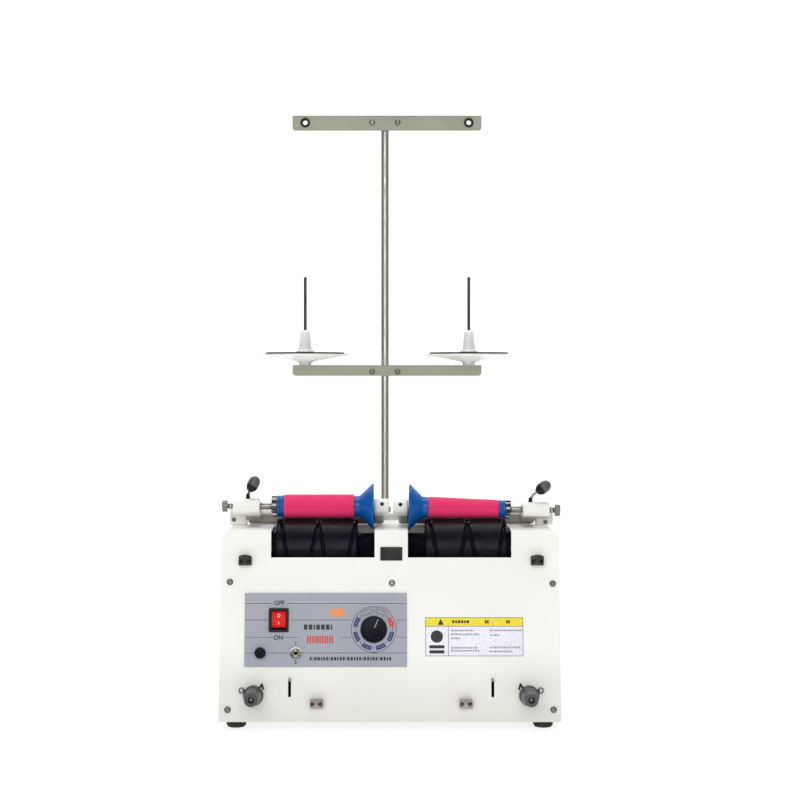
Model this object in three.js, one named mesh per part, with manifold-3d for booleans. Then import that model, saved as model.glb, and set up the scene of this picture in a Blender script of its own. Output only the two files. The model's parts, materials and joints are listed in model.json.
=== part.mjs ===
// Twin-head thread winder: a sheet-metal cabinet with two friction drums, two swinging
// bobbin cradles above them and a thread stand behind. Millimetres, +Z up, front faces -Y.
// Heights are measured from a datum inside the feet; the last lines set the machine on z = 0.
import * as THREE from 'three';
import { mergeVertices } from 'three/addons/utils/BufferGeometryUtils.js';
import Module from 'manifold-3d';

const wasm = await Module();
wasm.setup();

// ---- Driving dimensions ----------------------------------------------------

const GAP = 0.3;
const SHEET = 1.5;

// Cabinet
const CABINET_W = 400;
const CABINET_X = -1.5;
const CABINET_DEPTH = 240;
const CABINET_TOP = 227;
const CABINET_BASE = 7;
const CORNER_R = 12;
const LEAN_DEG = 8.5;
const LEAN = THREE.MathUtils.degToRad(LEAN_DEG);
const PANEL_H = (CABINET_TOP - CABINET_BASE) / Math.cos(LEAN);
const BASE_T = 2;
const BASE_LIP = 12;
const FOOT_H = 10;
const FOOT_R = 12;
const FEET = {
  foot_front_left: [-182.5, 26],
  foot_front_right: [179, 26],
  foot_rear_left: [-182.5, 215],
  foot_rear_right: [179, 215],
};
const INLET = { x: 140, z: 45, w: 27.4, h: 20, flangeW: 32, flangeH: 24, socketW: 23, socketH: 15 };

// Drum openings, measured from the middle of the machine
const OPENING_IN = 19.6;
const OPENING_OUT = 142;
const OPENING_SILL = 195.6;
const OPENING_BACK = 111;
const FLANGE_DROP = 10;

// Drums and their drive
const DRUM_Y = 75;
const DRUM_Z = 200;
const DRUM_R = 38;
const DRUM_IN = 40.5;
const DRUM_OUT = 137.5;
const HUB_R = 20;
const HUB_IN = 12;
const DRUM_SHAFT_R = 6;
const DRUM_SHAFT_END = 156;
const DRUM_PULLEY_R = 20;
const BEARING_PLATE = { in: 148, out: 151, eyeR: 17, footR: 32, ringR: 13, tabOut: 170 };
const MOTOR_Y = 150;
const MOTOR_Z = 62;
const MOTOR_R = 36;
const MOTOR_PULLEY_R = 12;
const MOTOR_FROM = 18;
const MOTOR_TO = 108;
const MOTOR_SHAFT_R = 5;
const MOTOR_SHAFT_END = 59;
const PULLEY_HALF = 7;
const BELT_T = 3;
const BELT_W = 8;

// Cradles
const PIVOT_Y = 112;
const PIVOT_Z = 237.3;
const PIVOT_SHAFT_R = 5;
const PIVOT_SHAFT_END = 198;
const BRACKET = { in: 177, out: 198, front: 102, back: 122, top: 247, round: 9 };
const BRACKET_SHOULDER = { x: 193, z: 243.5 };
const BRACKET_SIDE_TOP = 238;
const BARREL_R = 9.5;
const BARREL_ROUND = 7;
const BARREL_IN = 9;
const BARREL_OUT = 175;
const INNER_ARM = { in: 9, out: 20.5 };
const OUTER_ARM = { in: 158, out: 175 };
const INNER_HEAD_R = 9;
const INNER_HEAD_IN = 2.3;
const INNER_HEAD_OUT = 20;
const CENTRE_PIN_R = 4.6;
const CENTRE_PIN_END = 44;
const OUTER_HEAD_R = 9.7;
const OUTER_HEAD_IN = 158.5;
const OUTER_HEAD_OUT = 191;
const SPINDLE_R = 4.2;
const SPINDLE_TIP_R = 3;
const SPINDLE_OUT = 177;
const SPINDLE_TRAVEL = 10;
const LEVER_R = 1.9;
const LEVER_SLOT_W = 4.8;
const STUB_TOP = 15;
const GRIP_HALF = 9.5;
const GRIP_R = 7.2;
const CHUCK_OUT = 144.2;
const CHUCK_FLUTES = 10;
const CHUCK_FLUTE_DEPTH = 1.6;

// Bobbins
const BOBBIN_IN = 21;
const BOBBIN_OUT = 137.5;
const FLARE_R = 27.4;
const NECK_R = 11.5;
const TUBE_R = 8.3;
const PACKAGE_IN = 44.7;
const PACKAGE_OUT = 129.3;
const PACKAGE_MID = (PACKAGE_IN + PACKAGE_OUT) / 2;

// What differs between the two winding heads
const HEADS = [
  {
    name: 'left', side: -1, tilt: 0, packageInR: 14.25, packageOutR: 14.25, collarR: 13,
    chuckR: 12.6, leverAt: 173, leverLean: 28.6, leverReach: 14,
  },
  {
    name: 'right', side: 1, tilt: 1.35, packageInR: 12.9, packageOutR: 10.9, collarR: 10.7,
    chuckR: 10.8, leverAt: 168, leverLean: 51.4, leverReach: 20,
  },
];

// Thread stand
const POLE_X = -8;
const POLE_Y = 215;
const POLE_R = 4.9;
const BAR_X = -5.4;
const BAR_W = 243;
const BAR_FACE_Y = 207;
const BAR_FLANGE = 18;
const SPOOL_SPACING = 105.5;
const DISH_H = 16;
const PIN_R = 2;
const SPOOL_BAR = { bottom: 409.5, top: 423.3 };
const GUIDE_BAR = { bottom: 724.6, top: 744 };

// Front panel fittings: x across, v up the panel from its lower edge
const PLATE = { left: -172, right: 18.5, low: 63.2, high: 149, corner: 0.8 };
const PLATE_T = 1;
const PLATE_FACE = -GAP - PLATE_T;
const SWITCH = { x: -132, v: 117.5, holeW: 18, holeH: 22 };
const ROCKER_TILT = 8;
const ROCKER_AXIS_Y = 2;
const SPEED = { x: -20.5, v: 106.7, hole: 3.3, pointer: 25 };
const KNOB_R = 15.7;
const FUSE = { x: -153.3, v: 79.4, hole: 5.3 };
const TOGGLE = { x: -111.5, v: 79.4, hole: 3.2, tilt: 14 };
const SLOT = { x: 118.7, low: 28.3, high: 50.8, w: 3.4 };
const FEELER = { hubY: 15, v: SLOT.high - 3.4, wire: 1.1 };
const TENSION = { x: 160.5, v: 31.3, tilt: 6.5, r: 11.7, from: -3.2, face: -12, knobEnd: -43 };
const UPPER_GUIDE = { x: 172, v: 187.2, w: 14.9, h: 12 };
const LOWER_GUIDE = { x: 87, v: 21.5, w: 14.9, h: 10.6 };

// Thread eyes in the guide blocks and in the guide bar
const EYE_R = 2.05;
const EYE_SPREAD = 4.6;
const EYE_RISE = 4.4;
const EYELET = { spacing: 105, z: 734.8, hole: 4.9, bore: 3.1 };

// ---- Solids ----------------------------------------------------------------

// Closed three.js geometry to a manifold solid, with its faces turned outwards.
function solid(geometry) {
  const bare = geometry.clone();
  bare.deleteAttribute('normal');
  bare.deleteAttribute('uv');
  const merged = mergeVertices(bare, 1e-4);
  const points = merged.attributes.position.array;
  const corner = (i) => new THREE.Vector3().fromArray(points, 3 * i);
  const triangles = [];
  let volume = 0;
  for (let i = 0; i < merged.index.count; i += 3) {
    const [a, b, c] = merged.index.array.slice(i, i + 3);
    if (a !== b && b !== c && c !== a) {
      triangles.push(a, b, c);
      volume += corner(a).dot(corner(b).cross(corner(c)));
    }
  }
  if (volume < 0) {
    triangles.reverse();
  }
  const triVerts = new Uint32Array(triangles);
  return new wasm.Manifold(new wasm.Mesh({ numProp: 3, vertProperties: points, triVerts }));
}

function union(parts) {
  return parts.reduce((whole, part) => whole.add(part));
}

function box(x0, x1, y0, y1, z0, z1) {
  const geometry = new THREE.BoxGeometry(Math.abs(x1 - x0), y1 - y0, z1 - z0);
  geometry.translate((x0 + x1) / 2, (y0 + y1) / 2, (z0 + z1) / 2);
  return solid(geometry);
}

// Bases that lay a drawn outline across each machine axis.
const ACROSS_X = new THREE.Matrix4().makeBasis(
  new THREE.Vector3(0, 1, 0), new THREE.Vector3(0, 0, 1), new THREE.Vector3(1, 0, 0));
const ACROSS_Y = new THREE.Matrix4().makeBasis(
  new THREE.Vector3(1, 0, 0), new THREE.Vector3(0, 0, 1), new THREE.Vector3(0, -1, 0));

// Outline drawn in (y, z), running along X from x0 to x1.
function prismX(shape, x0, x1, curveSegments = 12) {
  const depth = Math.abs(x1 - x0);
  const geometry = new THREE.ExtrudeGeometry(shape, { depth, bevelEnabled: false, curveSegments });
  geometry.applyMatrix4(ACROSS_X);
  geometry.translate(Math.min(x0, x1), 0, 0);
  return solid(geometry);
}

// Outline drawn in (x, z), running along Y from y0 to y1.
function prismY(shape, y0, y1, curveSegments = 6) {
  const depth = y1 - y0;
  const geometry = new THREE.ExtrudeGeometry(shape, { depth, bevelEnabled: false, curveSegments });
  geometry.applyMatrix4(ACROSS_Y);
  geometry.translate(0, y1, 0);
  return solid(geometry);
}

// Profile of [radius, distance] points turned about an axis through the origin.
function turned(profile, axis, segments = 24) {
  const points = profile.map(([r, along]) => new THREE.Vector2(r, along));
  const geometry = new THREE.LatheGeometry(points, segments);
  if (axis === 'x') {
    geometry.rotateZ(-Math.PI / 2);
  }
  if (axis === 'y') {
    geometry.rotateY(Math.PI);
  }
  if (axis === 'z') {
    geometry.rotateX(Math.PI / 2);
  }
  return solid(geometry);
}

// Profile drawn outwards from the middle of the machine, laid out to one side of it.
function outwards(profile, side) {
  return profile.map(([r, x]) => [r, side * x]);
}

// Plain round bar along an axis through the origin.
function bar(radius, from, to, axis, segments = 16) {
  const low = Math.min(from, to);
  const high = Math.max(from, to);
  return turned([[0, low], [radius, low], [radius, high], [0, high]], axis, segments);
}

function roundedRect(x0, x1, y0, y1, radius) {
  const shape = new THREE.Shape();
  shape.moveTo(x0 + radius, y0);
  shape.lineTo(x1 - radius, y0);
  shape.absarc(x1 - radius, y0 + radius, radius, -Math.PI / 2, 0);
  shape.lineTo(x1, y1 - radius);
  shape.absarc(x1 - radius, y1 - radius, radius, 0, Math.PI / 2);
  shape.lineTo(x0 + radius, y1);
  shape.absarc(x0 + radius, y1 - radius, radius, Math.PI / 2, Math.PI);
  shape.lineTo(x0, y0 + radius);
  shape.absarc(x0 + radius, y0 + radius, radius, Math.PI, 1.5 * Math.PI);
  return shape;
}

// Square-footed outline with its two upper corners rounded.
function arch(x0, x1, y0, y1, radius) {
  const shape = new THREE.Shape();
  shape.moveTo(x0, y0);
  shape.lineTo(x1, y0);
  shape.lineTo(x1, y1 - radius);
  shape.absarc(x1 - radius, y1 - radius, radius, 0, Math.PI / 2);
  shape.lineTo(x0 + radius, y1);
  shape.absarc(x0 + radius, y1 - radius, radius, Math.PI / 2, Math.PI);
  shape.lineTo(x0, y0);
  return shape;
}

// Outline around two circles and the straight tangents between them.
function strap(a, radiusA, b, radiusB) {
  const towards = Math.atan2(b[1] - a[1], b[0] - a[0]);
  const apart = Math.hypot(b[0] - a[0], b[1] - a[1]);
  const lift = Math.acos((radiusA - radiusB) / apart);
  const shape = new THREE.Shape();
  shape.absarc(a[0], a[1], radiusA, towards + lift, towards - lift + 2 * Math.PI);
  shape.absarc(b[0], b[1], radiusB, towards - lift, towards + lift);
  return shape;
}

// ---- Scene graph -----------------------------------------------------------

const PAINT = { color: 0xf0f0e6, roughness: 0.45, metalness: 0.1 };
const STEEL = { color: 0xb8b8b4, roughness: 0.3, metalness: 0.9 };
const CHROME = { color: 0xd8d8da, roughness: 0.12, metalness: 1 };
const BLACK = { color: 0x141418, roughness: 0.35, metalness: 0 };
const DARK_GREY = { color: 0x46464a, roughness: 0.5, metalness: 0.2 };
const KHAKI = { color: 0xa3a692, roughness: 0.4, metalness: 0.3 };
const WHITE_PLASTIC = { color: 0xf4f4f0, roughness: 0.35, metalness: 0 };
const BLUE = { color: 0x0f55a5, roughness: 0.3, metalness: 0 };
const PINK = { color: 0xeb3269, roughness: 0.7, metalness: 0 };
const RED = { color: 0xdc1e19, roughness: 0.25, metalness: 0 };
const PLATE_SILVER = { color: 0xb0b4c3, roughness: 0.4, metalness: 0.5 };
const RUBBER = { color: 0x1a1a1a, roughness: 0.8, metalness: 0 };

const machine = new THREE.Group();

function add(name, body, look, parent = machine) {
  const { vertProperties, triVerts } = body.getMesh();
  const geometry = new THREE.BufferGeometry();
  geometry.setAttribute('position', new THREE.BufferAttribute(new Float32Array(vertProperties), 3));
  geometry.setIndex(new THREE.BufferAttribute(new Uint32Array(triVerts), 1));
  geometry.computeVertexNormals();
  const mesh = new THREE.Mesh(geometry, new THREE.MeshStandardMaterial(look));
  mesh.name = name;
  parent.add(mesh);
  return mesh;
}

// Everything on the front panel lives in its leaning frame: x across, -y out, z up the panel.
const panel = new THREE.Group();
panel.position.z = CABINET_BASE;
panel.rotation.x = -LEAN;
machine.add(panel);

// ---- Cabinet ---------------------------------------------------------------

const WALL_LEFT = CABINET_X - CABINET_W / 2;
const WALL_RIGHT = CABINET_X + CABINET_W / 2;

// Removes what lies in front of the panel's inner face, from solids in the machine frame.
function behindPanel(body) {
  const reach = 2 * CABINET_W;
  const front = box(-reach, reach, -reach, SHEET + GAP, -reach, reach);
  return body.subtract(front.rotate([-LEAN_DEG, 0, 0]).translate([0, 0, CABINET_BASE]));
}

// Top, sides and back in one sheet, with a down-turned edge behind each drum opening.
function housingShell() {
  const outer = arch(WALL_LEFT, WALL_RIGHT, CABINET_BASE, CABINET_TOP, CORNER_R);
  const inner = arch(
    WALL_LEFT + SHEET, WALL_RIGHT - SHEET, CABINET_BASE - 1, CABINET_TOP - SHEET, CORNER_R - SHEET);
  const flangeLow = CABINET_TOP - FLANGE_DROP;
  let shell = prismY(outer, 0, CABINET_DEPTH).subtract(prismY(inner, -1, CABINET_DEPTH - SHEET));
  for (const side of [-1, 1]) {
    const [x0, x1] = [side * OPENING_IN, side * OPENING_OUT].sort((a, b) => a - b);
    shell = shell.subtract(box(x0, x1, -1, OPENING_BACK, CABINET_TOP - 2 * SHEET, CABINET_TOP + 1));
    shell = shell.add(
      box(x0, x1, OPENING_BACK, OPENING_BACK + SHEET, flangeLow, CABINET_TOP - SHEET / 2));
  }
  const inletHole = box(
    INLET.x - INLET.w / 2 - GAP, INLET.x + INLET.w / 2 + GAP, CABINET_DEPTH - 5, CABINET_DEPTH + 5,
    INLET.z - INLET.h / 2 - GAP, INLET.z + INLET.h / 2 + GAP);
  return behindPanel(shell).subtract(inletHole);
}

add('housing_shell', housingShell(), PAINT);

function frontPanel() {
  let sheet = prismY(arch(WALL_LEFT, WALL_RIGHT, 0, PANEL_H, CORNER_R), 0, SHEET);
  const sill = (OPENING_SILL - CABINET_BASE) / Math.cos(LEAN);
  for (const side of [-1, 1]) {
    sheet = sheet.subtract(box(side * OPENING_IN, side * OPENING_OUT, -1, 5, sill, PANEL_H + 5));
    const x = side * SLOT.x;
    const slot = roundedRect(x - SLOT.w / 2, x + SLOT.w / 2, SLOT.low, SLOT.high, SLOT.w / 2 - 0.05);
    sheet = sheet.subtract(prismY(slot, -1, 5, 4));
  }
  return sheet.subtract(fittingHoles());
}

// Holes that the control fittings pass through, in both the panel and the control plate.
function fittingHoles() {
  const [halfW, halfH] = [SWITCH.holeW / 2, SWITCH.holeH / 2];
  const rocker = box(SWITCH.x - halfW, SWITCH.x + halfW, -5, 5, SWITCH.v - halfH, SWITCH.v + halfH);
  const round = [SPEED, FUSE, TOGGLE].map(({ x, v, hole }) => bar(hole, -5, 5, 'y').translate([x, 0, v]));
  return union([rocker, ...round]);
}

add('front_panel', frontPanel(), PAINT, panel);

const plateBlank = roundedRect(PLATE.left, PLATE.right, PLATE.low, PLATE.high, PLATE.corner);
add('control_plate', prismY(plateBlank, PLATE_FACE, -GAP, 2).subtract(fittingHoles()), PLATE_SILVER, panel);

const BASE_TOP = CABINET_BASE + BASE_T;
const BASE_LEFT = WALL_LEFT + SHEET + GAP;
const BASE_RIGHT = WALL_RIGHT - SHEET - GAP;
const BASE_BACK = CABINET_DEPTH - SHEET - GAP;

function basePlate() {
  const lipTop = BASE_TOP + BASE_LIP;
  const floor = box(BASE_LEFT, BASE_RIGHT, 0, BASE_BACK, CABINET_BASE, BASE_TOP);
  const rearLip = box(BASE_LEFT, BASE_RIGHT, BASE_BACK - BASE_T, BASE_BACK, CABINET_BASE, lipTop);
  const frontLip = box(BASE_LEFT, BASE_RIGHT, 5, 5 + BASE_T, CABINET_BASE, lipTop);
  return behindPanel(union([floor, rearLip, frontLip]));
}

add('base_plate', basePlate(), STEEL);

function rubberFoot() {
  const top = FOOT_H - GAP;
  const profile = [[0, 0], [FOOT_R - 2.5, 0], [FOOT_R - 0.7, 2.2], [FOOT_R, 5], [FOOT_R, top], [0, top]];
  return turned(profile, 'z', 16);
}

for (const [name, [x, y]] of Object.entries(FEET)) {
  add(name, rubberFoot(), RUBBER).position.set(x, y, CABINET_BASE - FOOT_H);
}

function powerInlet() {
  const block = (w, h, y0, y1) => box(-w / 2, w / 2, CABINET_DEPTH + y0, CABINET_DEPTH + y1, -h / 2, h / 2);
  const flange = block(INLET.flangeW, INLET.flangeH, GAP, 3);
  const body = block(INLET.w, INLET.h, -22, 1);
  const socket = block(INLET.socketW, INLET.socketH, -15, 5);
  return flange.add(body).subtract(socket);
}

add('power_inlet', powerInlet(), BLACK).position.set(INLET.x, 0, INLET.z);

// ---- Drive -----------------------------------------------------------------

const drumAxle = new THREE.Group();
drumAxle.position.set(0, DRUM_Y, DRUM_Z);
machine.add(drumAxle);

// Grooved pulley profile: the belt runs between two rims.
function pulley(radius) {
  const grooveHalf = BELT_W / 2 + 0.5;
  const rim = radius + BELT_T + 1;
  const profile = [[0, -PULLEY_HALF], [rim, -PULLEY_HALF], [rim, -grooveHalf], [radius, -grooveHalf],
    [radius, grooveHalf], [rim, grooveHalf], [rim, PULLEY_HALF], [0, PULLEY_HALF]];
  return turned(profile, 'x', 18);
}

const drumShaft = bar(DRUM_SHAFT_R, -DRUM_SHAFT_END, DRUM_SHAFT_END, 'x').add(pulley(DRUM_PULLEY_R));
add('drum_shaft', drumShaft, STEEL, drumAxle);

function drum(side) {
  const bore = DRUM_SHAFT_R + GAP;
  const profile = [[bore, HUB_IN], [HUB_R, HUB_IN], [HUB_R, DRUM_IN], [DRUM_R, DRUM_IN], [DRUM_R, DRUM_OUT],
    [bore, DRUM_OUT], [bore, HUB_IN]];
  return turned(outwards(profile, side), 'x', 32);
}

for (const { name, side } of HEADS) {
  add(`drum_${name}`, drum(side), BLACK, drumAxle);
}

// Upright plate with a round shaft eye, bent outwards at its foot.
function bearingBracket(side) {
  const { in: x0, out: x1, eyeR, footR, ringR, tabOut } = BEARING_PLATE;
  const eye = [DRUM_Y, DRUM_Z];
  const low = BASE_TOP + GAP;
  const foot = [DRUM_Y, low + footR];
  const reach = 400;
  const trim = box(-reach, reach, -reach, reach, -reach, low);
  const plate = prismX(strap(eye, eyeR, foot, footR), side * x0, side * x1, 8).subtract(trim);
  const tab = box(side * x0, side * tabOut, DRUM_Y - 25, DRUM_Y + 25, low, low + 3);
  const ring = bar(ringR, side * (x0 - 3), side * (x1 + 3), 'x', 14).translate([0, ...eye]);
  const bore = bar(DRUM_SHAFT_R + GAP, side * (x0 - 8), side * (x1 + 8), 'x').translate([0, ...eye]);
  return union([plate, tab, ring]).subtract(bore);
}

for (const { name, side } of HEADS) {
  add(`bearing_bracket_${name}`, bearingBracket(side), STEEL);
}

function motorBody() {
  const can = turned([[0, MOTOR_FROM], [20, MOTOR_FROM], [MOTOR_R - 4, MOTOR_FROM + 4],
    [MOTOR_R, MOTOR_FROM + 8], [MOTOR_R, MOTOR_TO - 4], [MOTOR_R - 4, MOTOR_TO], [0, MOTOR_TO]], 'x', 18);
  const foot = box(30, 96, -34, 34, BASE_TOP + GAP - MOTOR_Z, -MOTOR_R + 6);
  const bore = bar(MOTOR_SHAFT_R + GAP, MOTOR_FROM - 8, MOTOR_SHAFT_END + 1, 'x');
  return can.add(foot).subtract(bore);
}

const motor = new THREE.Group();
motor.position.set(0, MOTOR_Y, MOTOR_Z);
machine.add(motor);
add('motor_body', motorBody(), DARK_GREY, motor);
const motorShaft = bar(MOTOR_SHAFT_R, 0, MOTOR_SHAFT_END, 'x');
add('motor_pulley', pulley(MOTOR_PULLEY_R).add(motorShaft), STEEL, motor);

function beltLoop(clearance) {
  return strap([DRUM_Y, DRUM_Z], DRUM_PULLEY_R + clearance, [MOTOR_Y, MOTOR_Z], MOTOR_PULLEY_R + clearance);
}

const beltOuter = prismX(beltLoop(GAP + BELT_T), -BELT_W / 2, BELT_W / 2, 10);
const beltInner = prismX(beltLoop(GAP), -BELT_W, BELT_W, 10);
add('drive_belt', beltOuter.subtract(beltInner), RUBBER);

// ---- Winding heads ---------------------------------------------------------

// Height of the bobbin axis at the middle of the thread package, which rests on the drum.
function axisHeight({ packageInR, packageOutR }) {
  return DRUM_Z + DRUM_R + GAP + (packageInR + packageOutR) / 2;
}

const pivotShaft = bar(PIVOT_SHAFT_R, -PIVOT_SHAFT_END, PIVOT_SHAFT_END, 'x', 16);
add('pivot_shaft', pivotShaft, STEEL).position.set(0, PIVOT_Y, PIVOT_Z);

function pivotBracket(side) {
  const outline = arch(BRACKET.front, BRACKET.back, CABINET_TOP + GAP, BRACKET.top, BRACKET.round);
  const block = prismX(outline, side * BRACKET.in, side * BRACKET.out, 6);
  const slope = new THREE.Shape();
  slope.moveTo(side * BRACKET.in, BRACKET.top);
  slope.lineTo(side * BRACKET_SHOULDER.x, BRACKET_SHOULDER.z);
  slope.lineTo(side * BRACKET.out, BRACKET_SIDE_TOP);
  slope.lineTo(side * (BRACKET.out + 1), BRACKET_SIDE_TOP);
  slope.lineTo(side * (BRACKET.out + 1), BRACKET.top + 1);
  slope.lineTo(side * BRACKET.in, BRACKET.top + 1);
  const bore = bar(PIVOT_SHAFT_R + GAP, side * 170, side * 200, 'x').translate([0, PIVOT_Y, PIVOT_Z]);
  return block.subtract(prismY(slope, BRACKET.front - 1, BRACKET.back + 1)).subtract(bore);
}

// Moves a solid drawn along the bobbin axis to its place in the machine frame.
function onBobbinAxis(body, head) {
  return body.translate([-head.side * PACKAGE_MID, 0, 0])
    .rotate([0, head.tilt, 0])
    .translate([head.side * PACKAGE_MID, DRUM_Y, axisHeight(head)]);
}

// Plain barrel with domed ends, bored for the pivot shaft later.
function cradleBarrel(side) {
  const steps = 3;
  const profile = [[0, BARREL_IN]];
  const dome = (step, end, sign) => {
    const angle = (step / steps) * (Math.PI / 2);
    const r = BARREL_R - BARREL_ROUND + BARREL_ROUND * Math.sin(angle);
    profile.push([r, end + sign * (BARREL_ROUND - BARREL_ROUND * Math.cos(angle))]);
  };
  for (let step = 0; step <= steps; step += 1) {
    dome(step, BARREL_IN, 1);
  }
  for (let step = steps; step >= 0; step -= 1) {
    dome(step, BARREL_OUT, -1);
  }
  profile.push([0, BARREL_OUT]);
  return turned(outwards(profile, side), 'x', 14).translate([0, PIVOT_Y, PIVOT_Z]);
}

// Arm from the barrel up to a head on the bobbin axis.
function cradleArm(head, arm, tipR) {
  const middle = (arm.in + arm.out) / 2;
  const drop = head.side * (middle - PACKAGE_MID) * Math.tan(THREE.MathUtils.degToRad(head.tilt));
  const outline = strap([PIVOT_Y, PIVOT_Z], BARREL_R - 1, [DRUM_Y, axisHeight(head) - drop], tipR);
  return prismX(outline, head.side * arm.in, head.side * arm.out, 5);
}

function cradle(head) {
  const { side } = head;
  const innerHead = turned(outwards([
    [0, INNER_HEAD_IN], [INNER_HEAD_R - 1.5, INNER_HEAD_IN], [INNER_HEAD_R, INNER_HEAD_IN + 1.5],
    [INNER_HEAD_R, INNER_HEAD_OUT - 1.5], [INNER_HEAD_R - 1.5, INNER_HEAD_OUT],
    [CENTRE_PIN_R, INNER_HEAD_OUT], [CENTRE_PIN_R, CENTRE_PIN_END - 2],
    [CENTRE_PIN_R - 2, CENTRE_PIN_END], [0, CENTRE_PIN_END]], side), 'x', 14);
  const outerHead = turned(outwards([
    [0, OUTER_HEAD_IN], [OUTER_HEAD_R - 1, OUTER_HEAD_IN], [OUTER_HEAD_R, OUTER_HEAD_IN + 1],
    [OUTER_HEAD_R, OUTER_HEAD_OUT - 1.5], [OUTER_HEAD_R - 1.5, OUTER_HEAD_OUT],
    [0, OUTER_HEAD_OUT]], side), 'x', 14);
  const whole = union([
    cradleBarrel(side),
    cradleArm(head, INNER_ARM, INNER_HEAD_R - 0.4),
    cradleArm(head, OUTER_ARM, OUTER_HEAD_R - 0.4),
    onBobbinAxis(innerHead, head),
    onBobbinAxis(outerHead, head),
  ]);
  const pivotBore = bar(PIVOT_SHAFT_R + GAP, side * -5, side * 200, 'x').translate([0, PIVOT_Y, PIVOT_Z]);
  const spindleBore = bar(SPINDLE_R + GAP, side * (OUTER_HEAD_IN - 5), side * 200, 'x');
  const slotFrom = side * (head.leverAt - 3);
  const slotTo = side * (head.leverAt + SPINDLE_TRAVEL + 3);
  const leverSlot = box(slotFrom, slotTo, -LEVER_SLOT_W / 2, LEVER_SLOT_W / 2, 0, 20);
  return whole.subtract(pivotBore).subtract(onBobbinAxis(spindleBore.add(leverSlot), head));
}

// Fluted drive chuck that plugs the bobbin's small end and turns on the spindle tip.
function chuck({ side, chuckR }) {
  const outline = new THREE.Shape();
  const step = (2 * Math.PI) / CHUCK_FLUTES;
  const rootR = chuckR - CHUCK_FLUTE_DEPTH;
  for (let i = 0; i < CHUCK_FLUTES; i += 1) {
    for (const [radius, part] of [[chuckR, 0], [chuckR, 0.5], [rootR, 0.6], [rootR, 0.9]]) {
      const angle = (i + part) * step;
      const corner = [radius * Math.cos(angle), radius * Math.sin(angle)];
      if (outline.curves.length === 0 && i + part === 0) {
        outline.moveTo(...corner);
      } else {
        outline.lineTo(...corner);
      }
    }
  }
  const body = prismX(outline, side * (BOBBIN_OUT + GAP), side * CHUCK_OUT, 1);
  const nose = turned(outwards([[0, 128], [5, 128], [6.7, 136], [6.7, 139], [0, 139]], side), 'x', 16);
  const bore = bar(SPINDLE_TIP_R + GAP, side * 120, side * 150, 'x', 12);
  return body.add(nose).subtract(bore);
}

function spindle(side) {
  const tip = bar(SPINDLE_TIP_R, side * 131, side * 146, 'x', 12);
  return tip.add(bar(SPINDLE_R, side * (CHUCK_OUT + GAP), side * SPINDLE_OUT, 'x'));
}

// Lever elbow and reach, drawn about the lever's own foot on the bobbin axis.
function releaseLever({ leverLean, leverReach }) {
  const stub = bar(LEVER_R, SPINDLE_R + GAP, STUB_TOP, 'z', 8);
  const elbow = solid(new THREE.SphereGeometry(LEVER_R, 8, 6)).translate([0, 0, STUB_TOP]);
  const rod = bar(LEVER_R, 0, leverReach - 2, 'z', 8).rotate([0, leverLean, 0]).translate([0, 0, STUB_TOP]);
  return union([stub, elbow, rod]);
}

function leverGrip({ leverLean, leverReach }) {
  const egg = [];
  const steps = 8;
  for (let step = 0; step <= steps; step += 1) {
    const angle = (step / steps) * Math.PI;
    egg.push([GRIP_R * Math.sin(angle) * (1 - 0.12 * Math.cos(angle)), -GRIP_HALF * Math.cos(angle)]);
  }
  egg[0][0] = 0;
  egg[steps][0] = 0;
  const hole = bar(LEVER_R + GAP, -15, -2 + GAP, 'z', 8);
  return turned(egg, 'z', 12).subtract(hole).translate([0, 0, leverReach])
    .rotate([0, leverLean, 0])
    .translate([0, 0, STUB_TOP]);
}

// Knurled knob whose neck enters the outer head.
function preloadKnob(side) {
  const neckR = 3.6;
  const knobR = 7.05;
  const profile = [[0, 188.2], [4.1, 188.2], [4.1, 191.3], [neckR, 191.3], [neckR, 197], [knobR - 0.6, 197.5],
    [knobR, 198.4], [knobR, 203], [knobR - 0.8, 204], [0, 204]];
  return turned(outwards(profile, side), 'x', 14);
}

// Bobbin: trumpet-mouthed inner end, straight tube, plain outer collar.
function bobbin({ side, collarR }) {
  const flare = [];
  const hollow = [];
  const steps = 3;
  for (let step = 0; step <= steps; step += 1) {
    const t = step / steps;
    const radius = FLARE_R - (FLARE_R - NECK_R) * t ** 0.85;
    flare.push([radius, 23 + 18 * t]);
    hollow.unshift([radius - 2.2, BOBBIN_IN + 19 * t]);
  }
  const profile = [[FLARE_R - 2.2, BOBBIN_IN], [FLARE_R, BOBBIN_IN], ...flare, [NECK_R, PACKAGE_IN - GAP],
    [TUBE_R, PACKAGE_IN - GAP], [TUBE_R, PACKAGE_OUT + GAP], [collarR, PACKAGE_OUT + GAP],
    [collarR, BOBBIN_OUT - 1], [collarR - 1, BOBBIN_OUT], [7, BOBBIN_OUT], [7, 126], [5, 124], [5, 40],
    ...hollow];
  return turned(outwards(profile, side), 'x', 20);
}

function threadPackage({ side, packageInR, packageOutR }) {
  const bore = TUBE_R + GAP;
  const profile = [[bore, PACKAGE_IN], [packageInR, PACKAGE_IN], [packageOutR, PACKAGE_OUT],
    [bore, PACKAGE_OUT], [bore, PACKAGE_IN]];
  return turned(outwards(profile, side), 'x', 24);
}

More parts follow.
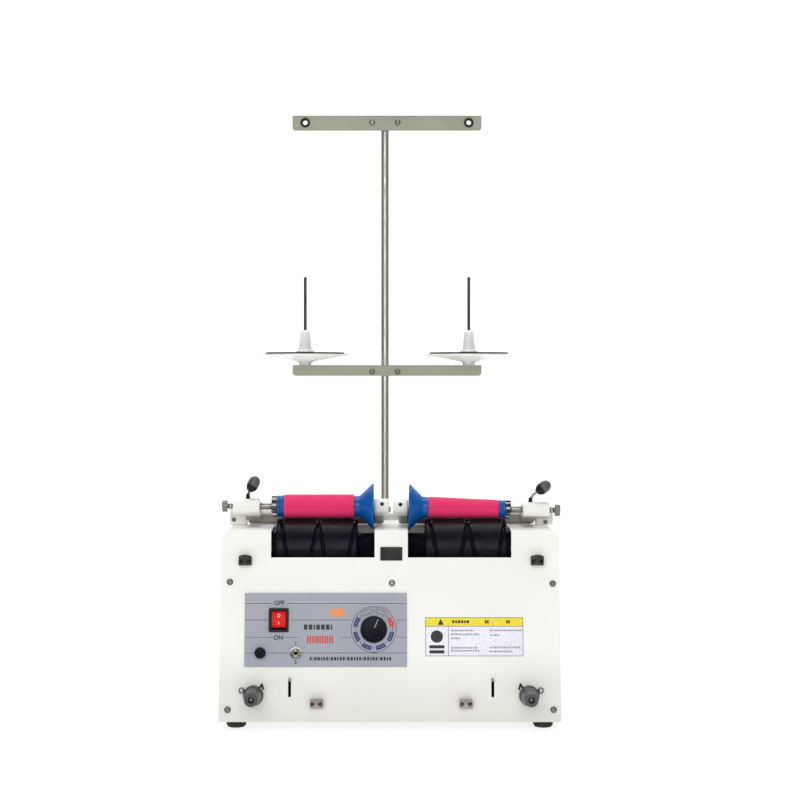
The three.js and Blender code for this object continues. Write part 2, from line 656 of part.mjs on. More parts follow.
for (const head of HEADS) {
  const { name, side } = head;
  add(`pivot_bracket_${name}`, pivotBracket(side), PAINT);
  add(`cradle_${name}`, cradle(head), PAINT);
  const tilted = new THREE.Group();
  tilted.position.set(side * PACKAGE_MID, DRUM_Y, axisHeight(head));
  tilted.rotation.y = THREE.MathUtils.degToRad(head.tilt);
  machine.add(tilted);
  const line = new THREE.Group();
  line.position.x = -side * PACKAGE_MID;
  tilted.add(line);
  add(`bobbin_${name}`, bobbin(head), BLUE, line);
  add(`thread_package_${name}`, threadPackage(head), PINK, line);
  add(`chuck_${name}`, chuck(head), CHROME, line);
  add(`spindle_${name}`, spindle(side), CHROME, line);
  add(`preload_knob_${name}`, preloadKnob(side), STEEL, line);
  add(`release_lever_${name}`, releaseLever(head), CHROME, line).position.x = side * head.leverAt;
  add(`lever_grip_${name}`, leverGrip(head), DARK_GREY, line).position.x = side * head.leverAt;
}

// ---- Front panel fittings --------------------------------------------------

function switchBezel() {
  const frame = prismY(roundedRect(-11.7, 11.7, -14, 14, 1.5), PLATE_FACE - GAP - 2, PLATE_FACE - GAP, 3);
  return frame.subtract(box(-8.9, 8.9, -10, 5, -10.9, 10.9));
}

add('switch_bezel', switchBezel(), BLACK, panel).position.set(SWITCH.x, 0, SWITCH.v);

// Rocker turned to its upper position, about an axis across the panel just behind the plate.
function switchRocker() {
  const outline = new THREE.Shape();
  outline.moveTo(-5.6, -9.2);
  outline.quadraticCurveTo(-3.8, 0, -5.6, 9.2);
  outline.lineTo(3, 7);
  outline.lineTo(3, -7);
  outline.lineTo(-5.6, -9.2);
  const body = prismX(outline, -8.4, 8.4, 6);
  return body.rotate([-ROCKER_TILT, 0, 0]);
}

add('switch_rocker', switchRocker(), RED, panel).position.set(SWITCH.x, ROCKER_AXIS_Y, SWITCH.v);

function toggleBat() {
  const bat = turned([[0, -15], [1.9, -14.4], [2.2, -12.5], [1.4, -1], [1.4, 3], [0, 3]].reverse(), 'y', 12);
  return bat.rotate([-TOGGLE.tilt, 0, 0]);
}

add('toggle_bat', toggleBat(), CHROME, panel).position.set(TOGGLE.x, 0, TOGGLE.v);

// Skirted knob with a pointer ridge.
function speedKnob() {
  const face = PLATE_FACE - 0.6;
  const skirt = turned(
    [[0, face - 6], [KNOB_R - 1.5, face - 6], [KNOB_R, face - 4], [KNOB_R, face], [0, face]], 'y', 20);
  const cap = bar(KNOB_R - 4, face - 15, face - 5, 'y', 16);
  const pointer = box(-2, 2, face - 16.5, face - 5, -KNOB_R + 3, KNOB_R - 1.5);
  const stem = bar(3, face - 1, 4, 'y', 12);
  return union([skirt, cap, pointer, stem]).rotate([0, SPEED.pointer, 0]);
}

add('speed_knob', speedKnob(), BLACK, panel).position.set(SPEED.x, 0, SPEED.v);

function fuseCap() {
  const face = PLATE_FACE - 0.5;
  const cap = turned([[0, face - 9], [5.2, face - 9], [6.2, face - 7.5], [6.7, face], [0, face]], 'y', 14);
  const slot = box(-4.2, 4.2, face - 10, face - 7.5, -0.7, 0.7);
  return cap.add(bar(5, face - 1, 12, 'y', 12)).subtract(slot);
}

add('fuse_cap', fuseCap(), BLACK, panel).position.set(FUSE.x, 0, FUSE.v);

// Small block with a pair of thread eyes in its face.
function guideBlock(width, height, peak) {
  const outline = new THREE.Shape();
  outline.moveTo(-width / 2, -height / 2);
  outline.lineTo(width / 2, -height / 2);
  outline.lineTo(width / 2, height / 2 - peak);
  outline.quadraticCurveTo(0, height / 2 + peak, -width / 2, height / 2 - peak);
  outline.lineTo(-width / 2, -height / 2);
  let block = prismY(outline, -8, -GAP, 5);
  for (const side of [-1, 1]) {
    const eye = bar(EYE_R, -9, -4, 'y', 12);
    block = block.subtract(eye.translate([side * EYE_SPREAD, 0, -height / 2 + EYE_RISE]));
  }
  return block;
}

for (const { name, side } of HEADS) {
  add(`upper_guide_${name}`, guideBlock(UPPER_GUIDE.w, UPPER_GUIDE.h, 1.6), DARK_GREY, panel)
    .position.set(side * UPPER_GUIDE.x, 0, UPPER_GUIDE.v);
  add(`lower_guide_${name}`, guideBlock(LOWER_GUIDE.w, LOWER_GUIDE.h, 0.4), STEEL, panel)
    .position.set(side * LOWER_GUIDE.x, 0, LOWER_GUIDE.v);
}

// Seat, drum, stem and thread ears of one tension unit. Its front part droops by the tilt.
function tensionPost(side) {
  const { tilt, r, from, face, knobEnd } = TENSION;
  const seat = bar(9, -GAP, -5, 'y', 18).rotate([-tilt, 0, 0]);
  const drumBody = turned([[0, from], [r, from], [r, face + 1], [r - 1, face], [0, face]], 'y', 20);
  const stem = bar(3, knobEnd + 4, face + 1, 'y', 12);
  const ear = box(side * 8, side * 13, -9.5, -6.5, 4.4, 7.6);
  const ringHole = bar(1.9, -12, -2, 'y', 8).translate([side * 13.4, 0, 6]);
  const ring = bar(3.9, -9.5, -6.5, 'y', 12).translate([side * 13.4, 0, 6]);
  const outline = new THREE.Shape();
  outline.moveTo(-side * 5, 8);
  outline.lineTo(-side * 10, 14.2);
  outline.lineTo(-side * 12.6, 6.4);
  outline.lineTo(-side * 9, 5);
  outline.lineTo(-side * 5, 8);
  const prong = prismY(outline, -9.5, -6.5);
  return union([seat, drumBody, stem, ear, ring, prong]).subtract(ringHole);
}

// Knob with a conical skirt that runs back towards the drum.
function tensionKnob() {
  const { face, knobEnd } = TENSION;
  const back = face - 1;
  const profile = [[3.3, back], [10.4, back], [10.2, back - 1.5], [8, knobEnd + 12], [8, knobEnd + 1.5],
    [7, knobEnd], [3.3, knobEnd], [3.3, back]];
  return turned(profile, 'y', 16);
}

for (const { name, side } of HEADS) {
  const unit = new THREE.Group();
  unit.position.set(side * TENSION.x, 0, TENSION.v);
  unit.rotation.x = THREE.MathUtils.degToRad(TENSION.tilt);
  panel.add(unit);
  add(`tension_post_${name}`, tensionPost(side), DARK_GREY, unit);
  add(`tension_knob_${name}`, tensionKnob(), DARK_GREY, unit);
}

// Thread feeler: a wire out through its slot from a hub behind the panel.
function feeler() {
  const hub = bar(3.5, -4, 4, 'x', 12).translate([0, FEELER.hubY, 0]);
  const wire = bar(FEELER.wire, -5, FEELER.hubY, 'y', 10);
  const tip = bar(FEELER.wire, -1, 2.2, 'z', 10).translate([0, -4.2, 0]);
  return union([hub, wire, tip]);
}

for (const { name, side } of HEADS) {
  add(`feeler_${name}`, feeler(), CHROME, panel).position.set(side * SLOT.x, 0, FEELER.v);
}

// ---- Thread stand ----------------------------------------------------------

function standPole() {
  const low = CABINET_TOP + GAP;
  const foot = turned(
    [[0, low], [15, low], [15, low + 2.7], [8, low + 4.7], [8, low + 13.7], [0, low + 13.7]], 'z', 16);
  return foot.add(bar(POLE_R, low + 5, GUIDE_BAR.top - SHEET - GAP, 'z'));
}

add('stand_pole', standPole(), STEEL).position.set(POLE_X, POLE_Y, 0);

// Angle-section bar: upright face in front, flange to the rear, saddle block clamped on the pole.
function standBar({ bottom, top }) {
  const x0 = BAR_X - BAR_W / 2;
  const x1 = BAR_X + BAR_W / 2;
  const outline = new THREE.Shape();
  const round = 4;
  outline.moveTo(x0 + round, bottom);
  outline.lineTo(x1 - round, bottom);
  outline.absarc(x1 - round, bottom + round, round, -Math.PI / 2, 0);
  outline.lineTo(x1, top);
  outline.lineTo(x0, top);
  outline.absarc(x0 + round, bottom + round, round, Math.PI, 1.5 * Math.PI);
  const face = prismY(outline, BAR_FACE_Y, BAR_FACE_Y + SHEET, 4);
  const flange = box(x0, x1, BAR_FACE_Y, BAR_FACE_Y + BAR_FLANGE, top - SHEET, top);
  const saddle = box(POLE_X - 21, POLE_X + 21, BAR_FACE_Y + 1, BAR_FACE_Y + 16, bottom + 1.5, top - 0.5);
  return union([face, flange, saddle]);
}

const poleHole = bar(POLE_R + GAP, CABINET_TOP, GUIDE_BAR.top - SHEET, 'z').translate([POLE_X, POLE_Y, 0]);
add('spool_bar', standBar(SPOOL_BAR).subtract(poleHole), KHAKI);

function guideBar() {
  let whole = standBar(GUIDE_BAR).subtract(poleHole);
  for (const side of [-1, 1]) {
    const hole = bar(EYELET.hole, BAR_FACE_Y - 5, BAR_FACE_Y + 5, 'y', 16);
    whole = whole.subtract(hole.translate([BAR_X + side * EYELET.spacing, 0, EYELET.z]));
  }
  return whole;
}

add('guide_bar', guideBar(), KHAKI);

function eyelet() {
  const front = -GAP - 2;
  const back = SHEET + GAP + 2;
  const { bore, hole } = EYELET;
  const neck = hole - GAP;
  const profile = [[bore, front], [5.4, front], [6.1, front + 0.8], [6.1, -GAP], [neck, -GAP],
    [neck, SHEET + GAP], [6.1, SHEET + GAP], [6.1, back - 0.6], [5.2, back], [bore, back], [bore, front]];
  return turned(profile, 'y', 14);
}

// Dish that a supply cone stands on, with a raised centre boss.
function spoolDish() {
  const foot = SPOOL_BAR.top + GAP;
  const profile = [[0, foot], [8, foot], [8, foot + 3.5], [54, foot + 12], [56.2, foot + 12.4],
    [56.2, foot + 14], [12, foot + 14], [12, foot + DISH_H], [0, foot + DISH_H]];
  return turned(profile, 'z', 28);
}

// White centring cone with its steel pin.
function spoolPin() {
  const base = SPOOL_BAR.top + 2 * GAP + DISH_H;
  const top = base + 97.5;
  const profile = [[0, base], [11.6, base], [11.6, base + 2], [10, base + 4], [7.6, base + 26],
    [5, base + 28.5], [PIN_R, base + 28.5], [PIN_R, top - 1.5], [PIN_R - 1, top], [0, top]];
  return turned(profile, 'z', 14);
}

for (const { name, side } of HEADS) {
  add(`eyelet_${name}`, eyelet(), BLACK)
    .position.set(BAR_X + side * EYELET.spacing, BAR_FACE_Y, EYELET.z);
  const spoolX = BAR_X + side * SPOOL_SPACING;
  const spoolY = BAR_FACE_Y + SHEET + (BAR_FLANGE - SHEET) / 2;
  add(`spool_dish_${name}`, spoolDish(), WHITE_PLASTIC).position.set(spoolX, spoolY, 0);
  add(`spool_pin_${name}`, spoolPin(), WHITE_PLASTIC).position.set(spoolX, spoolY, 0);
}

// ---- Origin: under the middle of the machine, on the surface it stands on ----

machine.updateMatrixWorld(true);
const extent = new THREE.Box3().setFromObject(machine);
const centre = extent.getCenter(new THREE.Vector3());
machine.position.set(-centre.x, -centre.y, -extent.min.z);

export default machine;
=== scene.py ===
import itertools
import json
from math import acos, atan2, cos, dist, pi, radians, sin, tan

import bmesh
import bpy
from mathutils import Matrix, Vector


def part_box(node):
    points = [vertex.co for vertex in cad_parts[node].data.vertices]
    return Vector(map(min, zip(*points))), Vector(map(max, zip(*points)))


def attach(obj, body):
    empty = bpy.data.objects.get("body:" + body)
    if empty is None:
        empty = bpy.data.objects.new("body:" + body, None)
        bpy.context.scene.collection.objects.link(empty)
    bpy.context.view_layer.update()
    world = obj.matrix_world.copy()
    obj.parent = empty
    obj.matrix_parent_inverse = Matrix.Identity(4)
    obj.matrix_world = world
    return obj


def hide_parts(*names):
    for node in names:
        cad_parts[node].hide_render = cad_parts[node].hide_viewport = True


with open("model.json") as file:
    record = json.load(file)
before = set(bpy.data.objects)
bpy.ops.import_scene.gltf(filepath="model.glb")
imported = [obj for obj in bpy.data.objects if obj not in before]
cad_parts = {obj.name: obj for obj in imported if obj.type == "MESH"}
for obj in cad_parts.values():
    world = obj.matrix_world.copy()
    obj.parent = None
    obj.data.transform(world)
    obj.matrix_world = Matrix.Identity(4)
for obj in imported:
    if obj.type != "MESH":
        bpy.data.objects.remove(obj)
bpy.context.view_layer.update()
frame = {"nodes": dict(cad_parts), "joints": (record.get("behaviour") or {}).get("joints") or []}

# ---- Frames
# Shapes are drawn in millimetres in the machine's own frame (x from its middle,
# y back from the foot of the front panel, z up from the bench) and laid in the row
# frame, in metres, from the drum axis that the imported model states.

MM = 0.001
JOINTS = {joint["name"]: joint for joint in frame["joints"]}
DRUM_Y, DRUM_Z = 75, 200
PANEL_LEAN = 8.5
CABINET_BASE = 7
SIDES = {"left": -1, "right": 1}
IDENTITY = Matrix.Identity(4)
MIRROR = Matrix.Scale(-1, 4, (1, 0, 0))
OUTWARD = {"left": MIRROR, "right": IDENTITY}


def at(x, y, z):
    return Matrix.Translation((x, y, z))


def about(axis, degrees):
    return Matrix.Rotation(radians(degrees), 4, axis)


ROW = (Matrix.Translation(JOINTS["drum_spin"]["pos_m"]) @ Matrix.Scale(MM, 4) @ at(0, -DRUM_Y, -DRUM_Z))
TO_MACHINE = ROW.inverted()
PANEL = at(0, 0, CABINET_BASE) @ about("X", -PANEL_LEAN)

# Turns that take a shape's own x axis to another axis.
TO_Y = about("Z", 90)
TO_Z = about("Y", -90)
# A plate drawn in x and y, stood up to face the front (its +z becomes -y).
UPRIGHT = about("X", 90)
# A plate drawn in y and z, with its thickness along x.
ACROSS = Matrix(((0, 0, 1, 0), (1, 0, 0, 0), (0, 1, 0, 0), (0, 0, 0, 1)))


def span(node):
    """Lowest and highest corner of a CAD node, in machine millimetres."""
    low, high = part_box(node)
    return TO_MACHINE @ low, TO_MACHINE @ high


def on_panel(x, v, out=0):
    """Frame at a point of the front panel: x across, -y out, z up the panel."""
    return PANEL @ at(x, -out, v)


def facing(x, v, out=0):
    """The same point for a shape drawn in x and y that faces out of the panel."""
    return on_panel(x, v, out) @ UPRIGHT


def bobbin_line(name):
    """Frame along a bobbin's axis, with x counted outwards from the machine's middle."""
    joint = JOINTS[f"bobbin_{name}_spin"]
    pos = TO_MACHINE @ Vector(joint["pos_m"])
    tilt = atan2(-joint["axis"][2], joint["axis"][0])
    return at(*pos) @ Matrix.Rotation(tilt, 4, "Y") @ at(-pos.x, 0, 0) @ OUTWARD[name]


# ---- Mesh tools


def configured(thing, **values):
    for key, value in values.items():
        setattr(thing, key, value)
    return thing


def linked(name, data):
    thing = bpy.data.objects.new(name, data)
    bpy.context.scene.collection.objects.link(thing)
    return thing


def polar(radius, angle, x=0.0, y=0.0):
    return (x + radius * cos(angle), y + radius * sin(angle))


def fillet(points, radius, steps=4, closed=False):
    """Rounds the corners of an outline. radius is one number, or one for each point."""
    count = len(points)
    radii = radius if isinstance(radius, (list, tuple)) else [radius] * count
    result = []
    for i, (point, r) in enumerate(zip(points, radii)):
        here = Vector(point)
        if r <= 0 or (not closed and i in (0, count - 1)):
            result.append(tuple(here))
            continue
        before = Vector(points[i - 1]) - here
        after = Vector(points[(i + 1) % count]) - here
        half = before.angle(after) / 2
        reach = min(r / max(tan(half), 1e-3), before.length * 0.49, after.length * 0.49)
        r = reach * tan(half)
        start = here + before.normalized() * reach
        end = here + after.normalized() * reach
        centre = here + (before.normalized() + after.normalized()).normalized() * (r / sin(half))
        for step in range(steps + 1):
            arm = (start - centre).lerp(end - centre, step / steps)
            result.append(tuple(centre + arm.normalized() * r))
    return result


def loop(points, radius, steps=4):
    return fillet(points, radius, steps, closed=True)


def circle(x, y, r, steps=24):
    return [polar(r, i * (2 * pi / steps), x, y) for i in range(steps)]


def rectangle(x0, x1, y0, y1, radius=0.0):
    corners = [(x0, y0), (x1, y0), (x1, y1), (x0, y1)]
    return loop(corners, radius) if radius else corners


def revolve(profile, segments=64, shape=None):
    """Turns (radius, distance) points about the x axis. A profile that starts off the
    axis is closed. shape(angle, distance, radius) may give each vertex its own radius."""
    bm = bmesh.new()
    rings = []
    for r, along in profile:
        ring = []
        for i in range(segments if r >= 1e-6 else 1):
            angle = 2 * pi * i / segments
            own = shape(angle, along, r) if shape and r >= 1e-6 else r
            ring.append(bm.verts.new((along, *polar(own, angle))))
        rings.append(ring)
    pairs = list(zip(rings, rings[1:]))
    if profile[0][0] > 0:
        pairs.append((rings[-1], rings[0]))
    for a, b in pairs:
        for i in range(segments):
            j = (i + 1) % segments
            corners = [a[i % len(a)], a[j % len(a)], b[j % len(b)], b[i % len(b)]]
            face = list(dict.fromkeys(corners))
            if len(face) > 2:
                bm.faces.new(face)
    return bm


def solid_of(curve, lift=0.0):
    """The mesh of a curve or a text, raised by lift."""
    holder = bpy.data.objects.new("curve", curve)
    mesh = bpy.data.meshes.new_from_object(holder)
    bm = bmesh.new()
    bm.from_mesh(mesh)
    bmesh.ops.remove_doubles(bm, verts=bm.verts, dist=1e-4)
    bmesh.ops.translate(bm, verts=bm.verts, vec=(0, 0, lift))
    bpy.data.objects.remove(holder)
    bpy.data.curves.remove(curve)
    bpy.data.meshes.remove(mesh)
    return bm


def plate(outline, low, high, holes=(), bevel=0.25, steps=2):
    """Outline in x and y with holes, from z = low to high, its edges rounded."""
    curve = configured(bpy.data.curves.new("plate", "CURVE"), dimensions="2D", fill_mode="BOTH",
        extrude=(high - low) / 2 - bevel, bevel_depth=bevel, bevel_resolution=steps, offset=-bevel)
    for ring in [outline] + [list(reversed(hole)) for hole in holes]:
        spline = curve.splines.new("POLY")
        spline.points.add(len(ring) - 1)
        for point, (x, y) in zip(spline.points, ring):
            point.co = (x, y, 0, 1)
        spline.use_cyclic_u = True
    return solid_of(curve, (low + high) / 2)


def moved(bm, *matrices):
    for matrix in reversed(matrices):
        bmesh.ops.transform(bm, matrix=matrix, verts=bm.verts)
    bmesh.ops.recalc_face_normals(bm, faces=bm.faces)
    return bm


def risen(profile, segments=64, shape=None):
    """The same as revolve, but about the z axis."""
    return moved(revolve(profile, segments, shape), TO_Z)


def joined(*parts):
    """Puts several shapes into one mesh, each as its own closed shell."""
    whole = parts[0]
    for part in parts[1:]:
        mesh = bpy.data.meshes.new("part")
        part.to_mesh(mesh)
        whole.from_mesh(mesh)
        bpy.data.meshes.remove(mesh)
        part.free()
    return whole


def solid(name, bm):
    """New object that holds the shape, with its faces turned outwards."""
    bmesh.ops.recalc_face_normals(bm, faces=bm.faces)
    mesh = bpy.data.meshes.new(name)
    bm.to_mesh(mesh)
    bm.free()
    return linked(name, mesh)


def applied(body, *cutters):
    """The body's shape with its modifiers applied. The helper objects are removed."""
    bm = bmesh.new()
    bm.from_object(body, bpy.context.evaluated_depsgraph_get())
    for holder in (body, *cutters):
        mesh = holder.data
        bpy.data.objects.remove(holder)
        bpy.data.meshes.remove(mesh)
    return bm


def boolean(base, *tools, mode="DIFFERENCE"):
    """Cuts the tools from the base, or joins them to it with mode UNION."""
    body = solid("body", base)
    cutters = [solid("cutter", tool) for tool in tools]
    for cutter in cutters:
        configured(body.modifiers.new("cut", "BOOLEAN"), operation=mode, solver="EXACT", object=cutter)
    return applied(body, *cutters)


def cast(bm, voxel, passes):
    """Melts a solid's sharp joins into the fillets of a casting."""
    body = solid("body", bm)
    configured(body.modifiers.new("remesh", "REMESH"), mode="VOXEL", voxel_size=voxel)
    configured(body.modifiers.new("smooth", "SMOOTH"), factor=0.5, iterations=passes)
    return applied(body)


def sweep(path, radius, resolution, sub):
    """Round wire along a smooth curve through the points."""
    curve = configured(bpy.data.curves.new("wire", "CURVE"), dimensions="3D", bevel_depth=radius,
        bevel_resolution=resolution, use_fill_caps=True)
    spline = curve.splines.new("BEZIER")
    spline.bezier_points.add(len(path) - 1)
    for point, co in zip(spline.bezier_points, path):
        configured(point, co=co, handle_left_type="AUTO", handle_right_type="AUTO")
    spline.resolution_u = sub
    return solid_of(curve)


def lettering(text, size, depth):
    """Generic mark in the plain built-in font, standing depth above z = 0."""
    curve = configured(bpy.data.curves.new("mark", "FONT"), body=text, size=size, align_x="CENTER",
        align_y="CENTER", extrude=depth / 2, offset=0.028 * size)
    return solid_of(curve, depth / 2)


def dress(piece, material, sharp):
    piece.data.shade_smooth()
    piece.data.set_sharp_from_angle(angle=radians(sharp))
    piece.data.materials.clear()
    piece.data.materials.append(material)


def make(name, bm, place, material, node=None, body="frame", sharp=32):
    """Finished piece: laid in the row frame, shaded, given its material and its body."""
    bmesh.ops.transform(bm, matrix=ROW @ place, verts=bm.verts)
    piece = solid(name, bm)
    dress(piece, material, sharp)
    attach(piece, body)
    if node:
        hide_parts(node)


def make_side(name, kind, bm, place, material, node=None, body="frame", sharp=32):
    """A piece of the left or right set, whose names end with the side's."""
    own_body = body if body in ("frame", "drums") else f"{body}_{name}"
    make(f"{kind}_{name}", bm, place, material, node and f"{node}_{name}", own_body, sharp)


def keep(node, material, bevel):
    """A CAD node whose shape is right: it gets a material and rounded edges."""
    piece = frame["nodes"][node]
    dress(piece, material, 28)
    configured(piece.modifiers.new("edges", "BEVEL"), width=bevel * MM, segments=3, angle_limit=radians(50),
        harden_normals=True)


# ---- Materials


class Nodes:
    """Builds one material's node tree."""

    def __init__(self, name):
        self.material = bpy.data.materials.new(name)
        self.material.use_nodes = True
        self.tree = self.material.node_tree
        self.shader = self.tree.nodes["Principled BSDF"]
        self.coord = self.tree.nodes.new("ShaderNodeTexCoord").outputs["Object"]

    def put(self, socket, value):
        """Links an output to the socket, or sets a number or colour on it."""
        if isinstance(value, bpy.types.NodeSocket):
            self.tree.links.new(value, socket)
        else:
            socket.default_value = (*value[:3], 1) if socket.type == "RGBA" else value

    def node(self, kind, **settings):
        """New node: a setting is one of its own values or one of its inputs."""
        made = self.tree.nodes.new(kind)
        for key, value in settings.items():
            if hasattr(made, key):
                setattr(made, key, value)
            else:
                self.put(made.inputs[key], value)
        return made

    def noise(self, scale, detail=4.0, stretch=None):
        coord = self.coord
        if stretch:
            coord = self.node("ShaderNodeMapping", Scale=stretch, Vector=coord).outputs["Vector"]
        return self.node("ShaderNodeTexNoise", Scale=scale, Detail=detail, Vector=coord).outputs["Fac"]

    def ramp(self, source, low, high, start=0.35, end=0.65):
        """Maps a grey output to colours or greys between low and high."""
        ramp = self.node("ShaderNodeValToRGB", Fac=source)
        for element, position, value in zip(ramp.color_ramp.elements, (start, end), (low, high)):
            colour = (value,) * 3 if isinstance(value, (int, float)) else value
            configured(element, position=position, color=(*colour[:3], 1))
        return ramp.outputs["Color"]

    def mix(self, factor, *colours):
        mix = self.node("ShaderNodeMix", data_type="RGBA")
        sockets = [socket for socket in mix.inputs if socket.enabled]
        for socket, value in zip(sockets, (factor, *colours)):
            self.put(socket, value)
        return [socket for socket in mix.outputs if socket.enabled][0]

    def math(self, operation, *values):
        node = self.node("ShaderNodeMath", operation=operation)
        for socket, value in zip(node.inputs, values):
            self.put(socket, value)
        return node.outputs[0]

    def times(self, source, factor):
        return self.math("MULTIPLY", source, factor)

    def bump(self, height, strength, distance, previous=None):
        bump = self.node("ShaderNodeBump", Strength=strength, Distance=distance, Height=height)
        if previous:
            self.put(bump.inputs["Normal"], previous)
        return bump.outputs["Normal"]

    def axes(self, vector):
        return self.node("ShaderNodeSeparateXYZ", Vector=vector).outputs

    def edges(self, radius):
        """Bright where a convex or concave edge runs, dark on open surfaces."""
        dot = self.node("ShaderNodeVectorMath", operation="DOT_PRODUCT")
        self.put(dot.inputs[0], self.node("ShaderNodeBevel", samples=4, Radius=radius).outputs["Normal"])
        self.put(dot.inputs[1], self.node("ShaderNodeNewGeometry").outputs["Normal"])
        return self.math("SUBTRACT", 1.0, dot.outputs["Value"])

    def done(self, colour, roughness, normal=None, **constants):
        for key, value in {"Base_Color": colour, "Roughness": roughness, "Normal": normal, **constants}.items():
            if value is not None:
                self.put(self.shader.inputs[key.replace("_", " ")], value)
        return self.material


def shade(colour, factor):
    return tuple(min(1.0, c * factor) for c in colour)


def painted(name, colour, rough=0.42, peel=0.5, wear=(0.62, 0.61, 0.58), shade_heights=None, shade_colour=(0.3, 0.285, 0.22)):
    """Baked enamel: faint mottling, orange peel, and paint thinned along the edges.

    Between a pair of machine heights, high and low, it blends downwards into a painted shade colour, standing
    for the shade that falls on the lower parts.
    """
    n = Nodes(name)
    mottle = n.ramp(n.noise(9, 5), shade(colour, 0.965), shade(colour, 1.02))
    dust = n.ramp(n.noise(160, 3), 0.0, 1.0, 0.55, 0.8)
    base = n.mix(n.times(dust, 0.05), mottle, shade(colour, 0.86))
    scuff = n.ramp(n.noise(420, 6), 0.0, 1.0, 0.52, 0.68)
    edge = n.times(n.math("GREATER_THAN", n.edges(0.0005), 0.16), scuff)
    base = n.mix(n.times(edge, 0.45), base, wear)
    roughness = n.ramp(n.noise(30, 4), rough - 0.06, rough + 0.08)
    peel_bump = n.bump(n.noise(900, 2), peel * 0.25, 0.00012)
    grain = n.bump(n.noise(5200, 2), peel * 0.2, 0.00004, peel_bump)
    # Painted shade: darker towards the bottom, blending into the shade colour below the given heights.
    if shade_heights:
        high, low = [(ROW @ Vector((0, 0, z))).z for z in shade_heights]
        height = n.times(n.math("SUBTRACT", n.axes(n.coord)["Z"], low), 1 / (high - low))
        base = n.mix(n.ramp(height, 0.9, 0.0, 0.2, 0.8), base, shade_colour)
    return n.done(base, roughness, grain, Specular_IOR_Level=0.45)


def metal(name, colour, rough=0.25, brush=None, bump=0.15, tarnish=0.12):
    """Bare metal: machining lines along one direction, smudges and worn edges."""
    n = Nodes(name)
    lines = n.noise(900, 3, stretch=brush or (1, 1, 1))
    base = n.mix(n.ramp(n.noise(60, 5), 0.0, tarnish), shade(colour, 1.04), shade(colour, 0.6))
    base = n.mix(n.ramp(lines, 0.0, 0.25), base, shade(colour, 0.72))
    edge = n.ramp(n.edges(0.0004), 0.0, 1.0, 0.05, 0.3)
    base = n.mix(n.times(edge, 0.5), base, shade(colour, 1.25))
    roughness = n.ramp(n.noise(45, 4), max(0.03, rough - 0.08), rough + 0.12)
    return n.done(base, roughness, n.bump(lines, bump, 0.00005), Metallic=1.0)


def plastic(name, colour, rough=0.3, grain=0.2, sss=0.0, shine=0.5):
    """Moulded plastic: slight flow marks, fine grain, handling smudges, paler edges."""
    n = Nodes(name)
    flow = n.ramp(n.noise(22, 5, stretch=(1, 1, 0.4)), shade(colour, 0.88), shade(colour, 1.1))
    rubbed = tuple(c * 1.3 + 0.01 for c in colour)
    edge = n.ramp(n.edges(0.0005), 0.0, 1.0, 0.06, 0.35)
    base = n.mix(n.times(edge, 0.28), flow, rubbed)
    smudge = n.ramp(n.noise(75, 6), rough - 0.08 if rough > 0.12 else 0.04, rough + 0.14)
    fine = n.bump(n.noise(3500, 3), grain, 0.00003)
    normal = n.bump(n.noise(140, 3), grain * 0.5, 0.00008, fine)
    return n.done(base, smudge, normal, Specular_IOR_Level=shine, Subsurface_Weight=sss)


def rubber(name, colour):
    n = Nodes(name)
    base = n.ramp(n.noise(240, 6), shade(colour, 0.7), shade(colour, 1.7))
    roughness = n.ramp(n.noise(90, 4), 0.62, 0.9)
    return n.done(base, roughness, n.bump(n.noise(2600, 4), 0.5, 0.00006), Specular_IOR_Level=0.2)


def thread(name, colour, line, pitch):
    """Cross-wound thread: two families of fine helical strands about the bobbin's axis, with painted shade in
    the gaps between the strands.
    """
    n = Nodes(name)
    offset = n.node("ShaderNodeVectorMath", operation="SUBTRACT")
    n.put(offset.inputs[0], n.coord)
    n.put(offset.inputs[1], ROW @ line.translation)
    axes = n.axes(offset.outputs["Vector"])
    angle = n.math("ARCTAN2", axes["Z"], axes["Y"])
    waves = []
    for lead in (3, -3):
        twist = n.times(angle, lead)
        along = n.times(axes["X"], 2 * pi / (pitch * MM))
        waves.append(n.math("SINE", n.math("ADD", along, twist)))
    weave = n.math("MAXIMUM", *waves)
    # Painted shade: the gaps between the strands are darker than the strand tops.
    strand = n.ramp(weave, 0.0, 1.0, 0.0, 0.95)
    soft = n.ramp(n.noise(120, 5), 0.0, 1.0, 0.3, 0.7)
    base = n.mix(strand, shade(colour, 0.86), shade(colour, 1.08))
    base = n.mix(n.times(soft, 0.2), base, shade(colour, 0.9))
    lint = n.ramp(n.noise(2400, 4), 0.0, 1.0, 0.6, 0.8)
    base = n.mix(n.times(lint, 0.12), base, shade(colour, 1.5))
    roughness = n.ramp(n.noise(500, 3), 0.42, 0.66)
    normal = n.bump(weave, 0.7, 0.00018)
    normal = n.bump(n.noise(5000, 3), 0.35, 0.00005, normal)
    return n.done(base, roughness, normal, Sheen_Weight=0.12, Sheen_Roughness=0.35, Specular_IOR_Level=0.3)


def printed(name, colour, rough=0.5):
    """Screen-printed ink: uneven density and a slightly grainy face."""
    n = Nodes(name)
    base = n.ramp(n.noise(700, 4), shade(colour, 0.85), shade(colour, 1.12))
    roughness = n.ramp(n.noise(300, 3), rough - 0.1, rough + 0.1)
    return n.done(base, roughness, n.bump(n.noise(4200, 3), 0.25, 0.00003))


